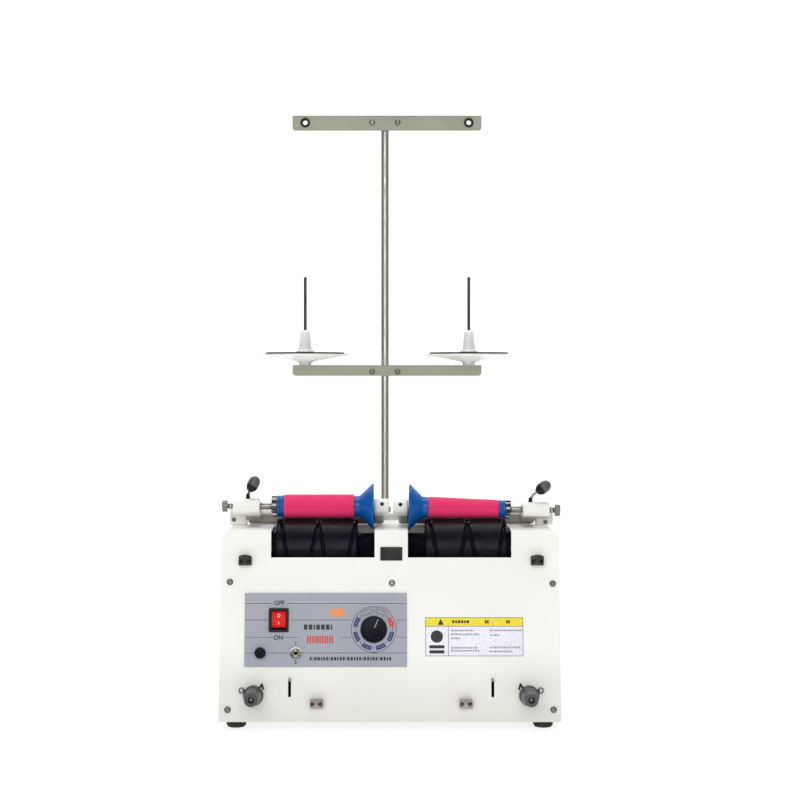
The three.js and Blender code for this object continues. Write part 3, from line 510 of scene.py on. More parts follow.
HEAD_WHITE = (0.88, 0.875, 0.825)
# Cabinet paint with painted shade: darker towards the bottom of the housing and front panel.
PAINT = painted("cabinet_paint", (0.895, 0.89, 0.845), shade_heights=(120, -20), shade_colour=(0.69, 0.69, 0.635))
CASTING = painted("casting_paint", HEAD_WHITE, rough=0.36, peel=1.0)
# Cradle paint with painted shade: the arms and barrel below the heads turn dark khaki, standing for the shade
# under the heads.
CRADLE = painted("cradle_paint_and_shade", HEAD_WHITE, rough=0.36, peel=1.0, shade_heights=(242.5, 238.5))
KHAKI = painted("stand_paint", (0.325, 0.335, 0.25), rough=0.4, wear=(0.55, 0.55, 0.5))
GREY_PAINT = painted("dark_grey_paint", (0.07, 0.07, 0.068), rough=0.45, wear=(0.35, 0.35, 0.34))
PLATE = painted("plate_finish", (0.34, 0.355, 0.415), rough=0.32, peel=0.2, wear=(0.75, 0.76, 0.8))
STEEL = metal("turned_steel", (0.6, 0.59, 0.56), 0.28, brush=(0.05, 1, 1))
POLE_STEEL = metal("drawn_pole", (0.4, 0.4, 0.345), 0.36, brush=(1, 1, 0.01), bump=0.05, tarnish=0.05)
PIN_STEEL = metal("blued_pin", (0.06, 0.06, 0.063), 0.3, bump=0.1)
SHEET_STEEL = metal("sheet_steel", (0.5, 0.5, 0.49), 0.4, brush=(0.1, 1, 1), tarnish=0.3)
CHROME = metal("chrome", (0.42, 0.415, 0.4), 0.09, bump=0.04, tarnish=0.06)
KNURL = metal("knurled_steel", (0.26, 0.26, 0.26), 0.3, bump=0.2, tarnish=0.3)
SPINDLE_STEEL = metal("spindle_steel", (0.27, 0.26, 0.24), 0.2, brush=(0.05, 1, 1))
DARK_CHROME = metal("dark_chrome", (0.15, 0.145, 0.14), 0.12, bump=0.04, tarnish=0.1)
SCREW = metal("screw_steel", (0.2, 0.195, 0.175), 0.34, bump=0.2, tarnish=0.3)
GLOSS_BLACK = plastic("gloss_black", (0.006, 0.006, 0.01), 0.26, grain=0.12, shine=0.09)
MATTE_BLACK = plastic("matte_black", (0.009, 0.009, 0.01), 0.45, grain=0.5, shine=0.25)
GRIP = plastic("grip_grey", (0.085, 0.083, 0.086), 0.42, grain=0.5)
DARK_GREY = plastic("dark_grey", (0.062, 0.06, 0.062), 0.4, grain=0.5)
BLUE = plastic("blue_plastic", (0, 0.095, 0.38), 0.28, grain=0.15, sss=0.02, shine=0.3)
WHITE = plastic("white_plastic", (0.93, 0.93, 0.9), 0.32, grain=0.15, sss=0.03)
RED = plastic("red_plastic", (0.7, 0.008, 0.006), 0.3, grain=0.08, sss=0.02, shine=0.12)
CERAMIC = plastic("eye_ceramic", (0.007, 0.007, 0.008), 0.25, grain=0.05, shine=0.3)
ZINC = metal("guide_zinc", (0.3, 0.255, 0.25), 0.5, bump=0.3, tarnish=0.3)
GUIDE_BLACK = plastic("guide_black", (0.022, 0.02, 0.02), 0.4, grain=0.6, shine=0.35)
RUBBER = rubber("black_rubber", (0.022, 0.022, 0.022))
FOAM = rubber("pad_foam", (0.007, 0.007, 0.008))
INK = printed("navy_ink", (0.008, 0.008, 0.15))
INK_BLACK = printed("black_ink", (0.01, 0.01, 0.013))
INK_RED = printed("red_ink", (0.62, 0.015, 0.025))
INK_WHITE = printed("white_ink", (0.85, 0.85, 0.85))
# Grey ink for the label's lines, and also the painted highlight on the speed knob's ridge.
GREY_INK_AND_HIGHLIGHT = printed("grey_ink_and_highlight", (0.3, 0.3, 0.36))
# Painted highlight: pale strips for the light on the raised upper edges of the plate's rules.
RULE_HIGHLIGHT = printed("painted_rule_highlight", (0.66, 0.67, 0.74))
YELLOW = printed("label_yellow", (0.84, 0.72, 0.01), 0.4)
LABEL = printed("label_body", (0.83, 0.83, 0.93), 0.4)
ORANGE = printed("sticker_orange", (0.8, 0.27, 0.08), 0.45)


# ---- Fasteners


def pan_head(radius, height):
    """Pan head lying on z = 0 with a Phillips cross, drawn along +z."""
    profile = fillet([(0, 0), (radius, 0), (radius * 0.97, height * 0.55), (radius * 0.55, height),
        (0, height)], [0, 0.1, radius * 0.3, radius * 0.3, 0], 4)
    dome = risen(profile, 32)
    wing, half = radius * 0.62, radius * 0.11
    bars = []
    for turn in (45, 135):
        bar = plate(rectangle(-wing, wing, -half, half), height * 0.45, height + 1, bevel=0.02, steps=0)
        bars.append(moved(bar, about("Z", turn)))
    return boolean(dome, *bars)


def screw(name, where, radius, height, turn):
    make(name, pan_head(radius, height), where @ UPRIGHT @ about("Z", turn), SCREW, sharp=25)


# ---- Cabinet

KEPT_NODES = [("housing_shell", PAINT, 0.35), ("front_panel", PAINT, 0.35), ("base_plate", SHEET_STEEL, 0.3),
    ("bearing_bracket_left", SHEET_STEEL, 0.3), ("bearing_bracket_right", SHEET_STEEL, 0.3),
    ("drum_shaft", STEEL, 0.2), ("motor_pulley", STEEL, 0.2), ("motor_body", GREY_PAINT, 0.5),
    ("drive_belt", RUBBER, 0.3), ("control_plate", PLATE, 0.2), ("power_inlet", MATTE_BLACK, 0.5)]
for kept in KEPT_NODES:
    keep(*kept)

PANEL_SCREWS = [(-190, 162, 20), (0.9, 160.5, 55), (190.3, 160, 75), (-190.9, 14, 10), (189.4, 14, 40)]
for index, (x, v, turn) in enumerate(PANEL_SCREWS):
    screw(f"panel_screw_{index + 1}", on_panel(x, v, 0.05), 3.9, 2.3, turn)


def foot_mesh():
    profile = fillet([(0, 0.8), (5.2, 0.8), (5.2, 0), (9.6, 0), (11.3, 2), (12, 5), (12, 9.7), (0, 9.7)],
        [0, 0.3, 0.3, 0.8, 1.2, 1.5, 0.3, 0], 4)
    return risen(profile, 48)


for node in ("foot_front_left", "foot_front_right", "foot_rear_left", "foot_rear_right"):
    low, high = span(node)
    middle = (low + high) / 2
    make(f"{node}_rubber", foot_mesh(), at(middle.x, middle.y, low.z), RUBBER, node)


# ---- Drums

DRUM_R = 38
DRUM_IN, DRUM_OUT = 40.5, 137.5
GROOVE_TURNS = 4
GROOVE_PHASE = 0.17


def groove_depth(angle, along):
    """How far the traverse groove cuts in: it winds out and back in four turns."""
    length = DRUM_OUT - DRUM_IN
    place = (along - DRUM_IN) / length
    front = (angle + pi) / (2 * pi)
    deepest = 0.0
    for turn in range(GROOVE_TURNS):
        u = (GROOVE_PHASE + front + turn) % GROOVE_TURNS
        wave = 1 - abs(u / 2 - 1)
        track = 0.06 + 0.92 * wave
        gap = abs(place - track) * length / 2.1
        if gap < 1:
            deepest = max(deepest, 4.2 * (1 - gap * gap) ** 0.5)
    return deepest


def drum_mesh(side):
    ends = [(6.4, 12), (19.2, 12), (20, 12.8), (20, DRUM_IN - 1), (21, DRUM_IN), (36.6, DRUM_IN),
        (38, DRUM_IN + 1.4)]
    skin = [(DRUM_R, DRUM_IN + 1.4 + (DRUM_OUT - DRUM_IN - 2.8) * i / 170) for i in range(1, 170)]
    far = [(DRUM_R, DRUM_OUT - 1.4), (36.6, DRUM_OUT), (33, DRUM_OUT), (31.5, DRUM_OUT - 3), (12, DRUM_OUT - 3),
        (11, DRUM_OUT), (6.4, DRUM_OUT)]

    def shape(angle, along, radius):
        if radius < DRUM_R:
            return radius
        return radius - groove_depth(angle, along if side > 0 else DRUM_IN + DRUM_OUT - along)

    return revolve(ends + skin + far, 220, shape=shape)


for name, side in SIDES.items():
    axle = at(0, DRUM_Y, DRUM_Z) @ OUTWARD[name]
    make_side(name, "grooved_drum", drum_mesh(side), axle, GLOSS_BLACK, "drum", body="drums",
        sharp=50)
    collar = loop([(6.3, 137.9), (10.5, 137.9), (10.5, 143.5), (6.3, 143.5)], 0.5, 3)
    make_side(name, "shaft_collar", revolve(collar, 40), axle, MATTE_BLACK, body="drums")
    stop = plate(rectangle(140.6, 146, 218.4, 225.3, 0.8), -110.4, -99, bevel=0.6)
    make_side(name, "opening_stop", moved(stop, UPRIGHT), OUTWARD[name], CASTING)


# ---- Winding heads

PIVOT_Y, PIVOT_Z = 112, 237.3
SET_SCREW = at(11, 0, 3) @ about("Z", -90)
HEAD_FACTS = {"left": {"package": (14.25, 14.25), "collar": 13, "chuck": 12.6, "lever": (173, 28.6, 14)},
    "right": {"package": (12.9, 10.9), "collar": 10.7, "chuck": 10.8, "lever": (168, 51.4, 20)}}


def strap_outline(a, ra, b, rb):
    """Outline around two circles and their tangents."""
    towards = atan2(b[1] - a[1], b[0] - a[0])
    lift = acos((ra - rb) / dist(a, b))
    arcs = ((a, ra, towards + lift, towards - lift + 2 * pi), (b, rb, towards - lift, towards + lift))
    outline = []
    for centre, radius, start, end in arcs:
        for step in range(21):
            angle = start + (end - start) * step / 20
            outline.append(polar(radius, angle, *centre))
    return outline


def rod(radius, x0, x1):
    return revolve([(0, x0), (radius, x0), (radius, x1), (0, x1)], 40)


def cradle_mesh(name, line):
    """Cast cradle: barrel on the pivot, two arms and two heads, in machine millimetres."""
    outward = OUTWARD[name]
    barrel = revolve(fillet([(0, 9), (9.5, 9), (9.5, 175), (0, 175)], 7.5, 8), 64)
    parts = [moved(barrel, at(0, PIVOT_Y, PIVOT_Z))]
    for x0, x1, radius in ((9.1, 20.4, 8.6), (158.2, 174.9, 9.3)):
        centre = (outward @ line) @ Vector(((x0 + x1) / 2, 0, 0))
        outline = strap_outline((PIVOT_Y, PIVOT_Z), 8.8, (centre.y, centre.z), radius)
        arm = plate(outline, x0, x1, bevel=1.2, steps=3)
        parts.append(moved(arm, ACROSS))
    drawn = outward @ line
    inner = revolve(fillet([(0, 2.5), (9, 2.5), (9, 19.8), (0, 19.8)], 1.6, 4), 56)
    outer = revolve(fillet([(0, 158.6), (9.7, 158.6), (9.7, 190.8), (0, 190.8)], [0, 1.2, 1.8, 0], 4), 56)
    parts += [moved(inner, drawn), moved(outer, drawn)]
    whole = boolean(parts[0], *parts[1:], mode="UNION")
    lever_at = HEAD_FACTS[name]["lever"][0]
    cuts = [moved(rod(5.3, -10, 200), at(0, PIVOT_Y, PIVOT_Z)), moved(rod(4.55, 150, 200), drawn),
        moved(plate(rectangle(lever_at - 2.6, lever_at + 12.6, -2.4, 2.4, 2.3), 0, 20), drawn),
        moved(rod(2.3, 4, 30), drawn @ SET_SCREW)]
    whole = boolean(whole, *cuts)
    return moved(cast(whole, 0.62, 3), outward)


def bobbin_mesh(collar):
    """Trumpet-mouthed bobbin with a rolled rim, a neck bead and a stepped outer collar."""
    outer = fillet([(27.1, 23.1), (12.9, 37.4), (12.4, 41.2)], 2.5, 6)
    inner = [(radius - 1.9, x - 1.0) for radius, x in outer]
    rim = [(25.4, 21.3), (26.2, 21), (27.0, 21.1), (27.4, 21.7), (27.4, 22.4), (27.2, 22.9)]
    neck = fillet([(12.4, 41.4), (12.3, 44.3), (8.4, 44.3)], 0.6, 3)
    end = fillet([(8.4, 129.7), (collar, 129.7), (collar, 133.2), (collar - 0.8, 133.6), (collar - 0.8, 134.6),
        (collar, 135), (collar, 137.4), (7, 137.4), (7, 126), (5, 124)], 0.35, 2)
    profile = rim + outer + neck + end + [(5, 40)] + list(reversed(inner))
    return revolve(profile, 96)


def package_mesh(radii):
    """Wound thread: crossing strands stand out of a slightly bulging body."""
    x0, x1 = 44.7, 129.3
    steps = 260
    profile = [(8.6, x0), (radii[0] - 0.9, x0)]
    for i in range(steps + 1):
        t = i / steps
        body = radii[0] + (radii[1] - radii[0]) * t
        edge = min(t, 1 - t) * (x1 - x0)
        drop_off = 0.9 * max(0.0, 1 - edge / 1.6) ** 2
        profile.append((body - drop_off - 0.12, x0 + 0.05 + (x1 - x0 - 0.1) * t))
    profile += [(radii[1] - 0.9, x1), (8.6, x1)]

    def shape(angle, along, radius):
        if radius < 9:
            return radius
        strand = max(sin(2 * pi * along / 1.3 + 3 * angle), sin(2 * pi * along / 1.3 - 3 * angle))
        drift = 0.05 * sin(along * 0.31 + 2 * angle) * cos(along * 0.11 - angle)
        return radius + 0.08 * strand + drift

    return revolve(profile, 96, shape=shape)


def chuck_mesh(radius):
    """Fluted drive disc with a tapered nose."""
    flutes = 10
    outline = []
    for i in range(flutes):
        base = 2 * pi * i / flutes
        step = 2 * pi / flutes
        for part, drop_in in ((0.0, 0), (0.16, 0), (0.32, 0), (0.46, 0), (0.54, 1.6), (0.62, 2.5), (0.73, 2.8),
                (0.84, 2.5), (0.92, 1.6)):
            outline.append(polar(radius - drop_in, base + part * step))
    disc = moved(plate(outline, 137.9, 144.1, holes=[circle(0, 0, 3.3, 32)], bevel=0.35), about("Y", 90))
    nose = loop([(3.3, 128.2), (4.8, 128.2), (6.6, 136), (6.6, 138.2), (3.3, 138.2)], 0.4, 3)
    return joined(disc, revolve(nose, 48))


def knurled_knob():
    profile = fillet([(0, 196.6), (2.8, 196.6), (2.8, 197.6), (6.3, 197.6), (6.9, 198.2)], 0.2, 2)
    skin = [(6.9, 198.1 + 4.8 * i / 14) for i in range(15)]
    top = fillet([(6.9, 203.0), (6.3, 203.9), (3, 203.9), (2.6, 203.5), (0, 203.5)], 0.3, 2)

    def shape(angle, along, radius):
        if radius < 6.85 or not 198.0 < along < 203.0:
            return radius
        return radius - 0.32 + 0.42 * abs(sin(18 * angle + 2.6 * along) * sin(18 * angle - 2.6 * along))

    return revolve(profile + skin + top, 144, shape=shape)


def dome_nut():
    profile = [(0, 188.3), (3.9, 188.3)]
    profile += [(2.2 + 2.0 * sin(a / 12 * pi) ** 0.6, 191.3 + 5.5 * a / 12) for a in range(1, 12)]
    profile += [(2.2, 196.9), (0, 196.9)]
    return revolve(profile, 48)


ELBOW = 15


def lever_mesh(lean, reach):
    """Bent release lever: a stub up from the spindle, a soft elbow and a leaning rod."""
    lean = radians(lean)
    near, tip = [(sin(lean) * r, 0, ELBOW + cos(lean) * r) for r in (3.5, reach)]
    return sweep([(0, 0, 4.6), (0, 0, 8), (0, 0, 12), near, tip], 1.8, 4, 8)


def grip_mesh():
    """Egg-shaped grip moulded over the lever's end, with a short neck."""
    profile = [(0, -9.3), (2.3, -9.3), (2.6, -9.0)]
    for step in range(1, 20):
        angle = pi * (0.13 + 0.87 * step / 20)
        profile.append((7.15 * sin(angle) * (1 - 0.1 * cos(angle)), -9.4 * cos(angle)))
    profile.append((0, 9.4))
    return risen(profile, 48)


def grip_collar():
    """Black lower sleeve of the grip, open towards the rod: a dark sheet standing for painted shade on the
    grip's lower part.
    """
    profile = loop([(1.9, -10.4), (3.4, -10.4), (5.9, -7.2), (6.9, -4.6), (7.2, -2.4), (6.6, -2.2), (1.9, -6)],
        0.3, 3)
    return risen(profile, 48)


def stub_mesh():
    """Black nut and spring seat around the foot of the lever."""
    profile = loop([(1.75, 9.4), (2.7, 9.4), (2.7, 11.4), (2.1, 11.7), (2.1, 12.5), (2.6, 12.8), (2.6, 14.4),
        (1.75, 14.4)], 0.2, 2)
    return risen(profile, 32)


BRACKET_SCREWS = {"left": (-192.6, 101.7, 234), "right": (188.5, 101.7, 231)}


def bracket_mesh():
    """Cast bracket at the right-hand end of the pivot, with a sloping outer shoulder."""
    outline = loop([(102, 227.35), (122, 227.35), (122, 247), (102, 247)], [0.8, 0.8, 9, 9], 8)
    across = ACROSS
    block = moved(plate(outline, 177.1, 198, holes=[circle(PIVOT_Y, PIVOT_Z, 5.25, 40)], bevel=0.8, steps=3),
        across)
    wedge = plate([(176, 247.2), (193, 243.5), (198, 238), (202, 232), (202, 252), (176, 252)], -125, -100,
        bevel=0.1)
    shoulder = boolean(block, moved(wedge, TO_Y))
    return cast(shoulder, 0.6, 2)


def spindle_mesh():
    profile = fillet([(0, 131.2), (2.6, 131.2), (2.95, 131.8), (2.95, 144.4), (4.15, 144.4), (4.15, 157.2),
        (3.8, 157.4), (3.8, 158.1), (4.15, 158.3), (4.15, 177), (0, 177)], 0.25, 2)
    return revolve(profile, 48)


for name, side in SIDES.items():
    line = bobbin_line(name)
    facts = HEAD_FACTS[name]
    make_side(name, "cast_cradle", cradle_mesh(name, line), IDENTITY, CRADLE, "cradle",
        body="cradle", sharp=60)
    pin = revolve(fillet([(0, 19.7), (4.5, 19.7), (4.5, 42), (2.6, 44), (0, 44)], 0.4, 3), 40)
    make_side(name, "bobbin_centre", pin, line, STEEL, body="cradle")
    make_side(name, "blue_bobbin", bobbin_mesh(facts["collar"]), line, BLUE, "bobbin",
        body="bobbin", sharp=50)
    strands = thread(f"pink_thread_{name}", (0.97, 0.036, 0.165), bobbin_line(name), 0.62)
    make_side(name, "wound_thread", package_mesh(facts["package"]), line, strands,
        "thread_package", body="bobbin", sharp=70)
    make_side(name, "fluted_chuck", chuck_mesh(facts["chuck"]), line, DARK_CHROME, "chuck",
        body="chuck")
    make_side(name, "sliding_spindle", spindle_mesh(), line, SPINDLE_STEEL, "spindle", body="spindle")
    make_side(name, "knurled_knob", knurled_knob(), line, KNURL, "preload_knob", body="preload",
        sharp=24)
    make_side(name, "dome_nut", dome_nut(), line, CHROME, body="preload")
    lever_x, lean, reach = facts["lever"]
    foot = line @ at(lever_x, 0, 0) @ OUTWARD[name]
    grip_at = foot @ at(0, 0, ELBOW) @ about("Y", lean) @ at(0, 0, reach)
    make_side(name, "bent_lever", lever_mesh(lean, reach), foot, SPINDLE_STEEL, "release_lever",
        body="spindle")
    make_side(name, "egg_grip", grip_mesh(), grip_at, GRIP, "lever_grip", body="spindle")
    # Painted shade: the black sleeve darkens the grip's lower part.
    make_side(name, "grip_shade_sleeve", grip_collar(), grip_at, MATTE_BLACK, body="spindle")
    make_side(name, "lever_nut", stub_mesh(), foot, MATTE_BLACK, body="spindle")
    socket = revolve(fillet([(0, 4.2), (2.1, 4.2), (2.1, 7.0), (1.1, 7.0), (1.1, 5.6), (0, 5.6)], 0.15, 2), 24)
    make_side(name, "set_screw", socket, line @ SET_SCREW, MATTE_BLACK, body="cradle")
    make_side(name, "cast_bracket", moved(bracket_mesh(), OUTWARD[name]), IDENTITY, CASTING,
        "pivot_bracket", sharp=50)
    screw(f"bracket_screw_{name}", at(*BRACKET_SCREWS[name]), 2.7, 1.8, 20 + 30 * side)

pivot = revolve(fillet([(0, -198), (5, -198), (5, -193), (4.4, -193), (4.4, -192), (5, -192), (5, 192),
    (4.4, 192), (4.4, 193), (5, 193), (5, 198), (0, 198)], 0.4, 3), 48)
make("pivot_rod", pivot, at(0, PIVOT_Y, PIVOT_Z), CASTING, "pivot_shaft")


# ---- Control plate and its fittings

PLATE_FACE = 1.3
INK_OUT = PLATE_FACE + 0.02


def ink(name, shapes, colour, out=INK_OUT, thick=0.06):
    """Flat print on the panel, or flat painted highlight: each shape is an outline in x and v."""
    parts = [plate(shape, 0, thick, bevel=0.01, steps=0) for shape in shapes]
    make(name, joined(*parts), facing(0, 0, out), colour)


def dashes(x0, x1, v, height, widths, gap):
    """Row of plain dashes standing for a line of print."""
    row, x = [], x0
    for width in itertools.cycle(widths):
        if x + width > x1:
            return row
        row.append(rectangle(x, x + width, v - height / 2, v + height / 2))
        x += width + gap


LINES = [(137.2, [(-171.6, -138.8), (-124, 18.2)]), (117.8, [(-171.6, -144.5), (-118, -47.4), (6.1, 18.2)]),
    (97.9, [(-171.6, -138.8), (-125.6, -109.2), (-59.7, -47.4), (6.1, 18.2)]),
    (79.6, [(-171.6, -160.2), (-145.4, -119.5), (-104.2, 18.2)])]
# The second set draws pale strips just above the rules: painted highlight on their raised upper edges.
for title, low, high, colour in (("plate_rules", -0.4, 0.4, INK_BLACK),
        ("plate_rule_highlights", 0.5, 0.9, RULE_HIGHLIGHT)):
    ink(title, [rectangle(x0, x1, v + low, v + high) for v, spans in LINES for x0, x1 in spans], colour)
ink("plate_code", dashes(-102.4, -67.5, 109.4, 6, (4.2, 4.2, 1.6, 4.2), 1.5), INK_BLACK)
ink("plate_title", dashes(-98.5, -67, 94.9, 8.6, (1.7, 1.7, 1.7), 1.15), INK_RED)
ink("plate_caption", dashes(-95.4, 1, 72.8, 4, (2.2, 0.9, 2.6, 2.6, 1.6, 2.2), 1.2), INK_BLACK)
ink("plate_sticker", [rectangle(-71.4, -55.7, 121.4, 130.7, 0.8)], ORANGE, thick=0.1)
for text, x, v, size in (("OFF", -131.4, 137.4, 7), ("ON", -132.3, 97, 7), ("1", -111.8, 90.6, 5.6),
        ("2", -111.8, 68.6, 5.6)):
    make(f"mark_{text.lower()}", lettering(text, size, 0.06), facing(x, v, INK_OUT), INK_BLACK)

SPEED_X, SPEED_V = -20.5, 106.7
KNOB_R = 15.7


def dial_point(r, a):
    """Place on the dial, with the angle in degrees clockwise from straight up."""
    return (SPEED_X + r * sin(radians(a)), SPEED_V + r * cos(radians(a)))


def ring_sector(r0, r1, a0, a1, steps=14):
    outer = [dial_point(r1, a0 + (a1 - a0) * i / steps) for i in range(steps + 1)]
    inner = [dial_point(r0, a1 + (a0 - a1) * i / steps) for i in range(steps + 1)]
    return list(reversed(outer + inner))


DIAL_IN, DIAL_OUT = 19.3, 24.2
DIAL_HALF = 15.3
NAVY_SECTORS = (112.5, 157.5, 202.5, 247.5, 292.5)
ink("dial_navy", [ring_sector(DIAL_IN, DIAL_OUT, a - DIAL_HALF, a + DIAL_HALF) for a in NAVY_SECTORS], INK)
ink("dial_red", [ring_sector(DIAL_IN, DIAL_OUT, 67.5 - DIAL_HALF, 67.5 + DIAL_HALF),
    ring_sector(27.9, 28.7, 20, 45)], INK_RED)
blanks = [ring_sector(r, r + 0.5, a - DIAL_HALF, a + DIAL_HALF)
    for r in (DIAL_IN, DIAL_OUT - 0.5) for a in (-22.5, 22.5)]
blanks += [ring_sector(DIAL_IN, DIAL_OUT, a, a + 1.2, 2) for a in (-37.8, -8.4, 7.2, 36.6)]
blanks += [ring_sector(26.0, 26.6, a, a + 44.9, 24) for a in range(0, 360, 45)]
ink("dial_lines", blanks, INK_BLACK)
DIAL_MIDDLE = (DIAL_IN + DIAL_OUT) / 2
dots = [circle(*dial_point(DIAL_MIDDLE, a + step), 0.42, 10) for a in (67.5, *NAVY_SECTORS)
    for step in (-10.5, -3.5, 3.5, 10.5)]
ink("dial_dots", dots, INK_WHITE, out=INK_OUT + 0.06)
for number in range(8):
    spot = facing(*dial_point(DIAL_MIDDLE, 225 + 45 * number), INK_OUT)
    make(f"dial_number_{number}", lettering(str(number), 3.6, 0.06), spot, INK_BLACK)


def speed_knob():
    """Skirted knob with a fluted cap and a pointer ridge, drawn along +z."""
    skirt = fillet([(0, 0.2), (KNOB_R, 0.2), (KNOB_R, 2.2), (14.4, 6), (0, 6)], [0, 0.4, 0.8, 0.8, 0], 4)
    flutes = 24
    outline = []
    for i in range(flutes * 6):
        angle = 2 * pi * i / (flutes * 6)
        outline.append(polar(11.6 - 0.5 * max(0, cos(flutes * angle)) ** 2, angle))
    cap = plate(outline, 5, 14.4, bevel=0.9, steps=3)
    ridge = plate(loop([(-2, -12), (2, -12), (1.4, 14), (-1.4, 14)], 0.8, 3), 5, 15.8, bevel=0.5)
    return joined(risen(skirt, 72), cap, ridge)


POINTER_TURN = -25
knob_face = facing(SPEED_X, SPEED_V, PLATE_FACE + 0.4) @ about("Z", POINTER_TURN)
make("speed_dial_knob", speed_knob(), knob_face, GLOSS_BLACK, "speed_knob",
    body="speed_control")
# Grey strip along the top of the pointer ridge: a painted highlight standing for the light along the ridge.
ridge_highlight = plate(loop([(-0.6, 2), (0.6, 2), (0.5, 13), (-0.5, 13)], 0.2, 2), 15.75, 15.9, bevel=0.02)
make("speed_ridge_highlight", ridge_highlight, knob_face, GREY_INK_AND_HIGHLIGHT, body="speed_control")

SWITCH_X, SWITCH_V = -132, 117.5
bezel = plate(rectangle(-11.7, 11.7, -14, 14, 1.8), 0, 2, holes=[rectangle(-8.9, 8.9, -10.9, 10.9, 0.6)],
    bevel=0.7, steps=3)
make("rocker_bezel", bezel, facing(SWITCH_X, SWITCH_V, PLATE_FACE + 0.3), MATTE_BLACK,
    "switch_bezel")


def rocker_mesh():
    """Concave two-way rocker, drawn with its face along -y and its height along z."""
    heights = [-9.2 + 18.4 * i / 16 for i in range(1, 16)]
    face = [(-5.6, -9.2)] + [(-5.6 + 1.1 * (1 - (v / 9.2) ** 2), v) for v in heights]
    outline = face + [(-5.6, 9.2), (3, 7), (3, -7)]
    return moved(plate(outline, -8.4, 8.4, bevel=0.5, steps=3), ACROSS)


rocker_frame = on_panel(SWITCH_X, SWITCH_V, -2) @ about("X", -8)
make("red_rocker", rocker_mesh(), rocker_frame, RED, "switch_rocker", body="rocker")
ring = plate(circle(0, 0, 1.9, 32), 0, 0.15, holes=[circle(0, 0, 1.35, 32)], bevel=0.02)
make("rocker_mark_o", ring, rocker_frame @ at(0, -4.95, 4.6) @ UPRIGHT, INK_WHITE, body="rocker")
dash = plate(rectangle(-0.35, 0.35, -1.9, 1.9), 0, 0.15, bevel=0.02)
make("rocker_mark_i", dash, rocker_frame @ at(0, -4.95, -4.2) @ UPRIGHT, INK_WHITE,
    body="rocker")

TOGGLE_X, TOGGLE_V = -111.5, 79.4
hexagon = plate(circle(0, 0, 7.4, 6), 0.1, 2.4, holes=[circle(0, 0, 3.4, 32)], bevel=0.35)
washer = plate(circle(0, 0, 7.2, 40), -0.2, 0.3, holes=[circle(0, 0, 3.4, 32)], bevel=0.08)
bushing = loop([(2.4, -0.2), (3.3, -0.2), (3.3, 5), (3.9, 5.4), (3.9, 6.6), (3.4, 7.2), (2.4, 7.2)], 0.15, 2)
nut = joined(hexagon, washer, risen(bushing, 40))
make("toggle_nut", nut, facing(TOGGLE_X, TOGGLE_V, PLATE_FACE + 0.2), SPINDLE_STEEL, sharp=25)
bat = fillet([(0, -2.9), (1.35, -2.9), (1.35, 1), (1.55, 8), (2.15, 12.6), (1.8, 14.6), (0, 14.9)],
    [0, 0.2, 0.3, 2, 1.2, 0.8, 0], 4)
bat_frame = on_panel(TOGGLE_X, TOGGLE_V) @ about("X", -14) @ UPRIGHT
make("toggle_lever", risen(bat, 32), bat_frame, SPINDLE_STEEL, "toggle_bat", body="toggle")

FUSE_X, FUSE_V = -153.3, 79.4


def fuse_mesh():
    base = fillet([(0, 0.1), (6.6, 0.1), (6.6, 2.2), (6.1, 2.8), (6.0, 7.8), (5.2, 8.9), (0, 8.9)],
        [0, 0.2, 0.4, 0.4, 1.0, 0.4, 0], 4)

    def ribs(angle, along, radius):
        return radius - 0.22 * max(0, cos(20 * angle)) if 2.9 < along < 8.0 and radius > 5.9 else radius

    body = risen(base, 120, shape=ribs)
    slot_cut = plate(rectangle(-4.2, 4.2, -0.7, 0.7), 7.4, 12, bevel=0.05, steps=0)
    return boolean(body, slot_cut)


fuse_face = facing(FUSE_X, FUSE_V, PLATE_FACE + 0.3) @ about("Z", 35)
make("fuse_carrier", fuse_mesh(), fuse_face, GLOSS_BLACK, "fuse_cap", body="fuse_holder_cap",
    sharp=28)


# ---- Label, badge, guides, tension units, feelers

LABEL_X0, LABEL_X1, LABEL_V0, LABEL_V1, LABEL_SPLIT = 39.7, 155.2, 75.3, 121.0, 110.3
body_plate = plate(rectangle(LABEL_X0, LABEL_X1, LABEL_V0, LABEL_V1, 2.2), 0, 0.25, bevel=0.08)
make("label_body", body_plate, facing(0, 0, 0.02), LABEL)
LABEL_OUT = 0.28
ink("label_header", [rectangle(LABEL_X0 + 1, LABEL_X1 - 1, LABEL_SPLIT, LABEL_V1 - 1, 0.8)], YELLOW,
    out=LABEL_OUT)
border = [rectangle(LABEL_X0 + 0.4, LABEL_X1 - 0.4, v - 0.25, v + 0.25)
    for v in (LABEL_V0 + 0.7, LABEL_V1 - 0.7, LABEL_SPLIT)]
border += [rectangle(x - 0.25, x + 0.25, LABEL_V0 + 0.7, LABEL_V1 - 0.7)
    for x in (LABEL_X0 + 0.7, LABEL_X1 - 0.7)]
border.append(rectangle(66.8, 67.3, LABEL_V0 + 0.7, LABEL_SPLIT))
border.append([(54.6, 112.0), (61.8, 112.0), (58.2, 119)])
border += dashes(71.5, 95, 115.6, 3.2, (2.6, 2.2, 3), 0.9)
border += dashes(110, 114.6, 115.6, 3.6, (2, 2), 0.5) + dashes(135, 139.6, 115.6, 3.6, (2, 2), 0.5)
ink("label_border", border, INK_BLACK, out=LABEL_OUT + 0.07)
TEXT_LINES = [(70, 97.5, 105.4), (70, 106, 101), (70, 83, 96.4), (70, 101, 85.4), (70, 106, 82),
    (116, 153, 105.6), (116, 127, 100), (115, 152, 85.8), (115, 143, 81.2)]
words = [mark for x0, x1, v in TEXT_LINES for mark in dashes(x0, x1, v, 1.9, (2.2, 1.4, 2.8, 1.8), 0.8)]
ink("label_lines", words, GREY_INK_AND_HIGHLIGHT, out=LABEL_OUT)
ink("label_symbol", [circle(53.5, 98.4, 7.2, 32), rectangle(44.5, 62.5, 84.6, 88.4, 1.5),
    rectangle(44.5, 62.5, 78.8, 82.6, 1.5)], INK_BLACK, out=LABEL_OUT)

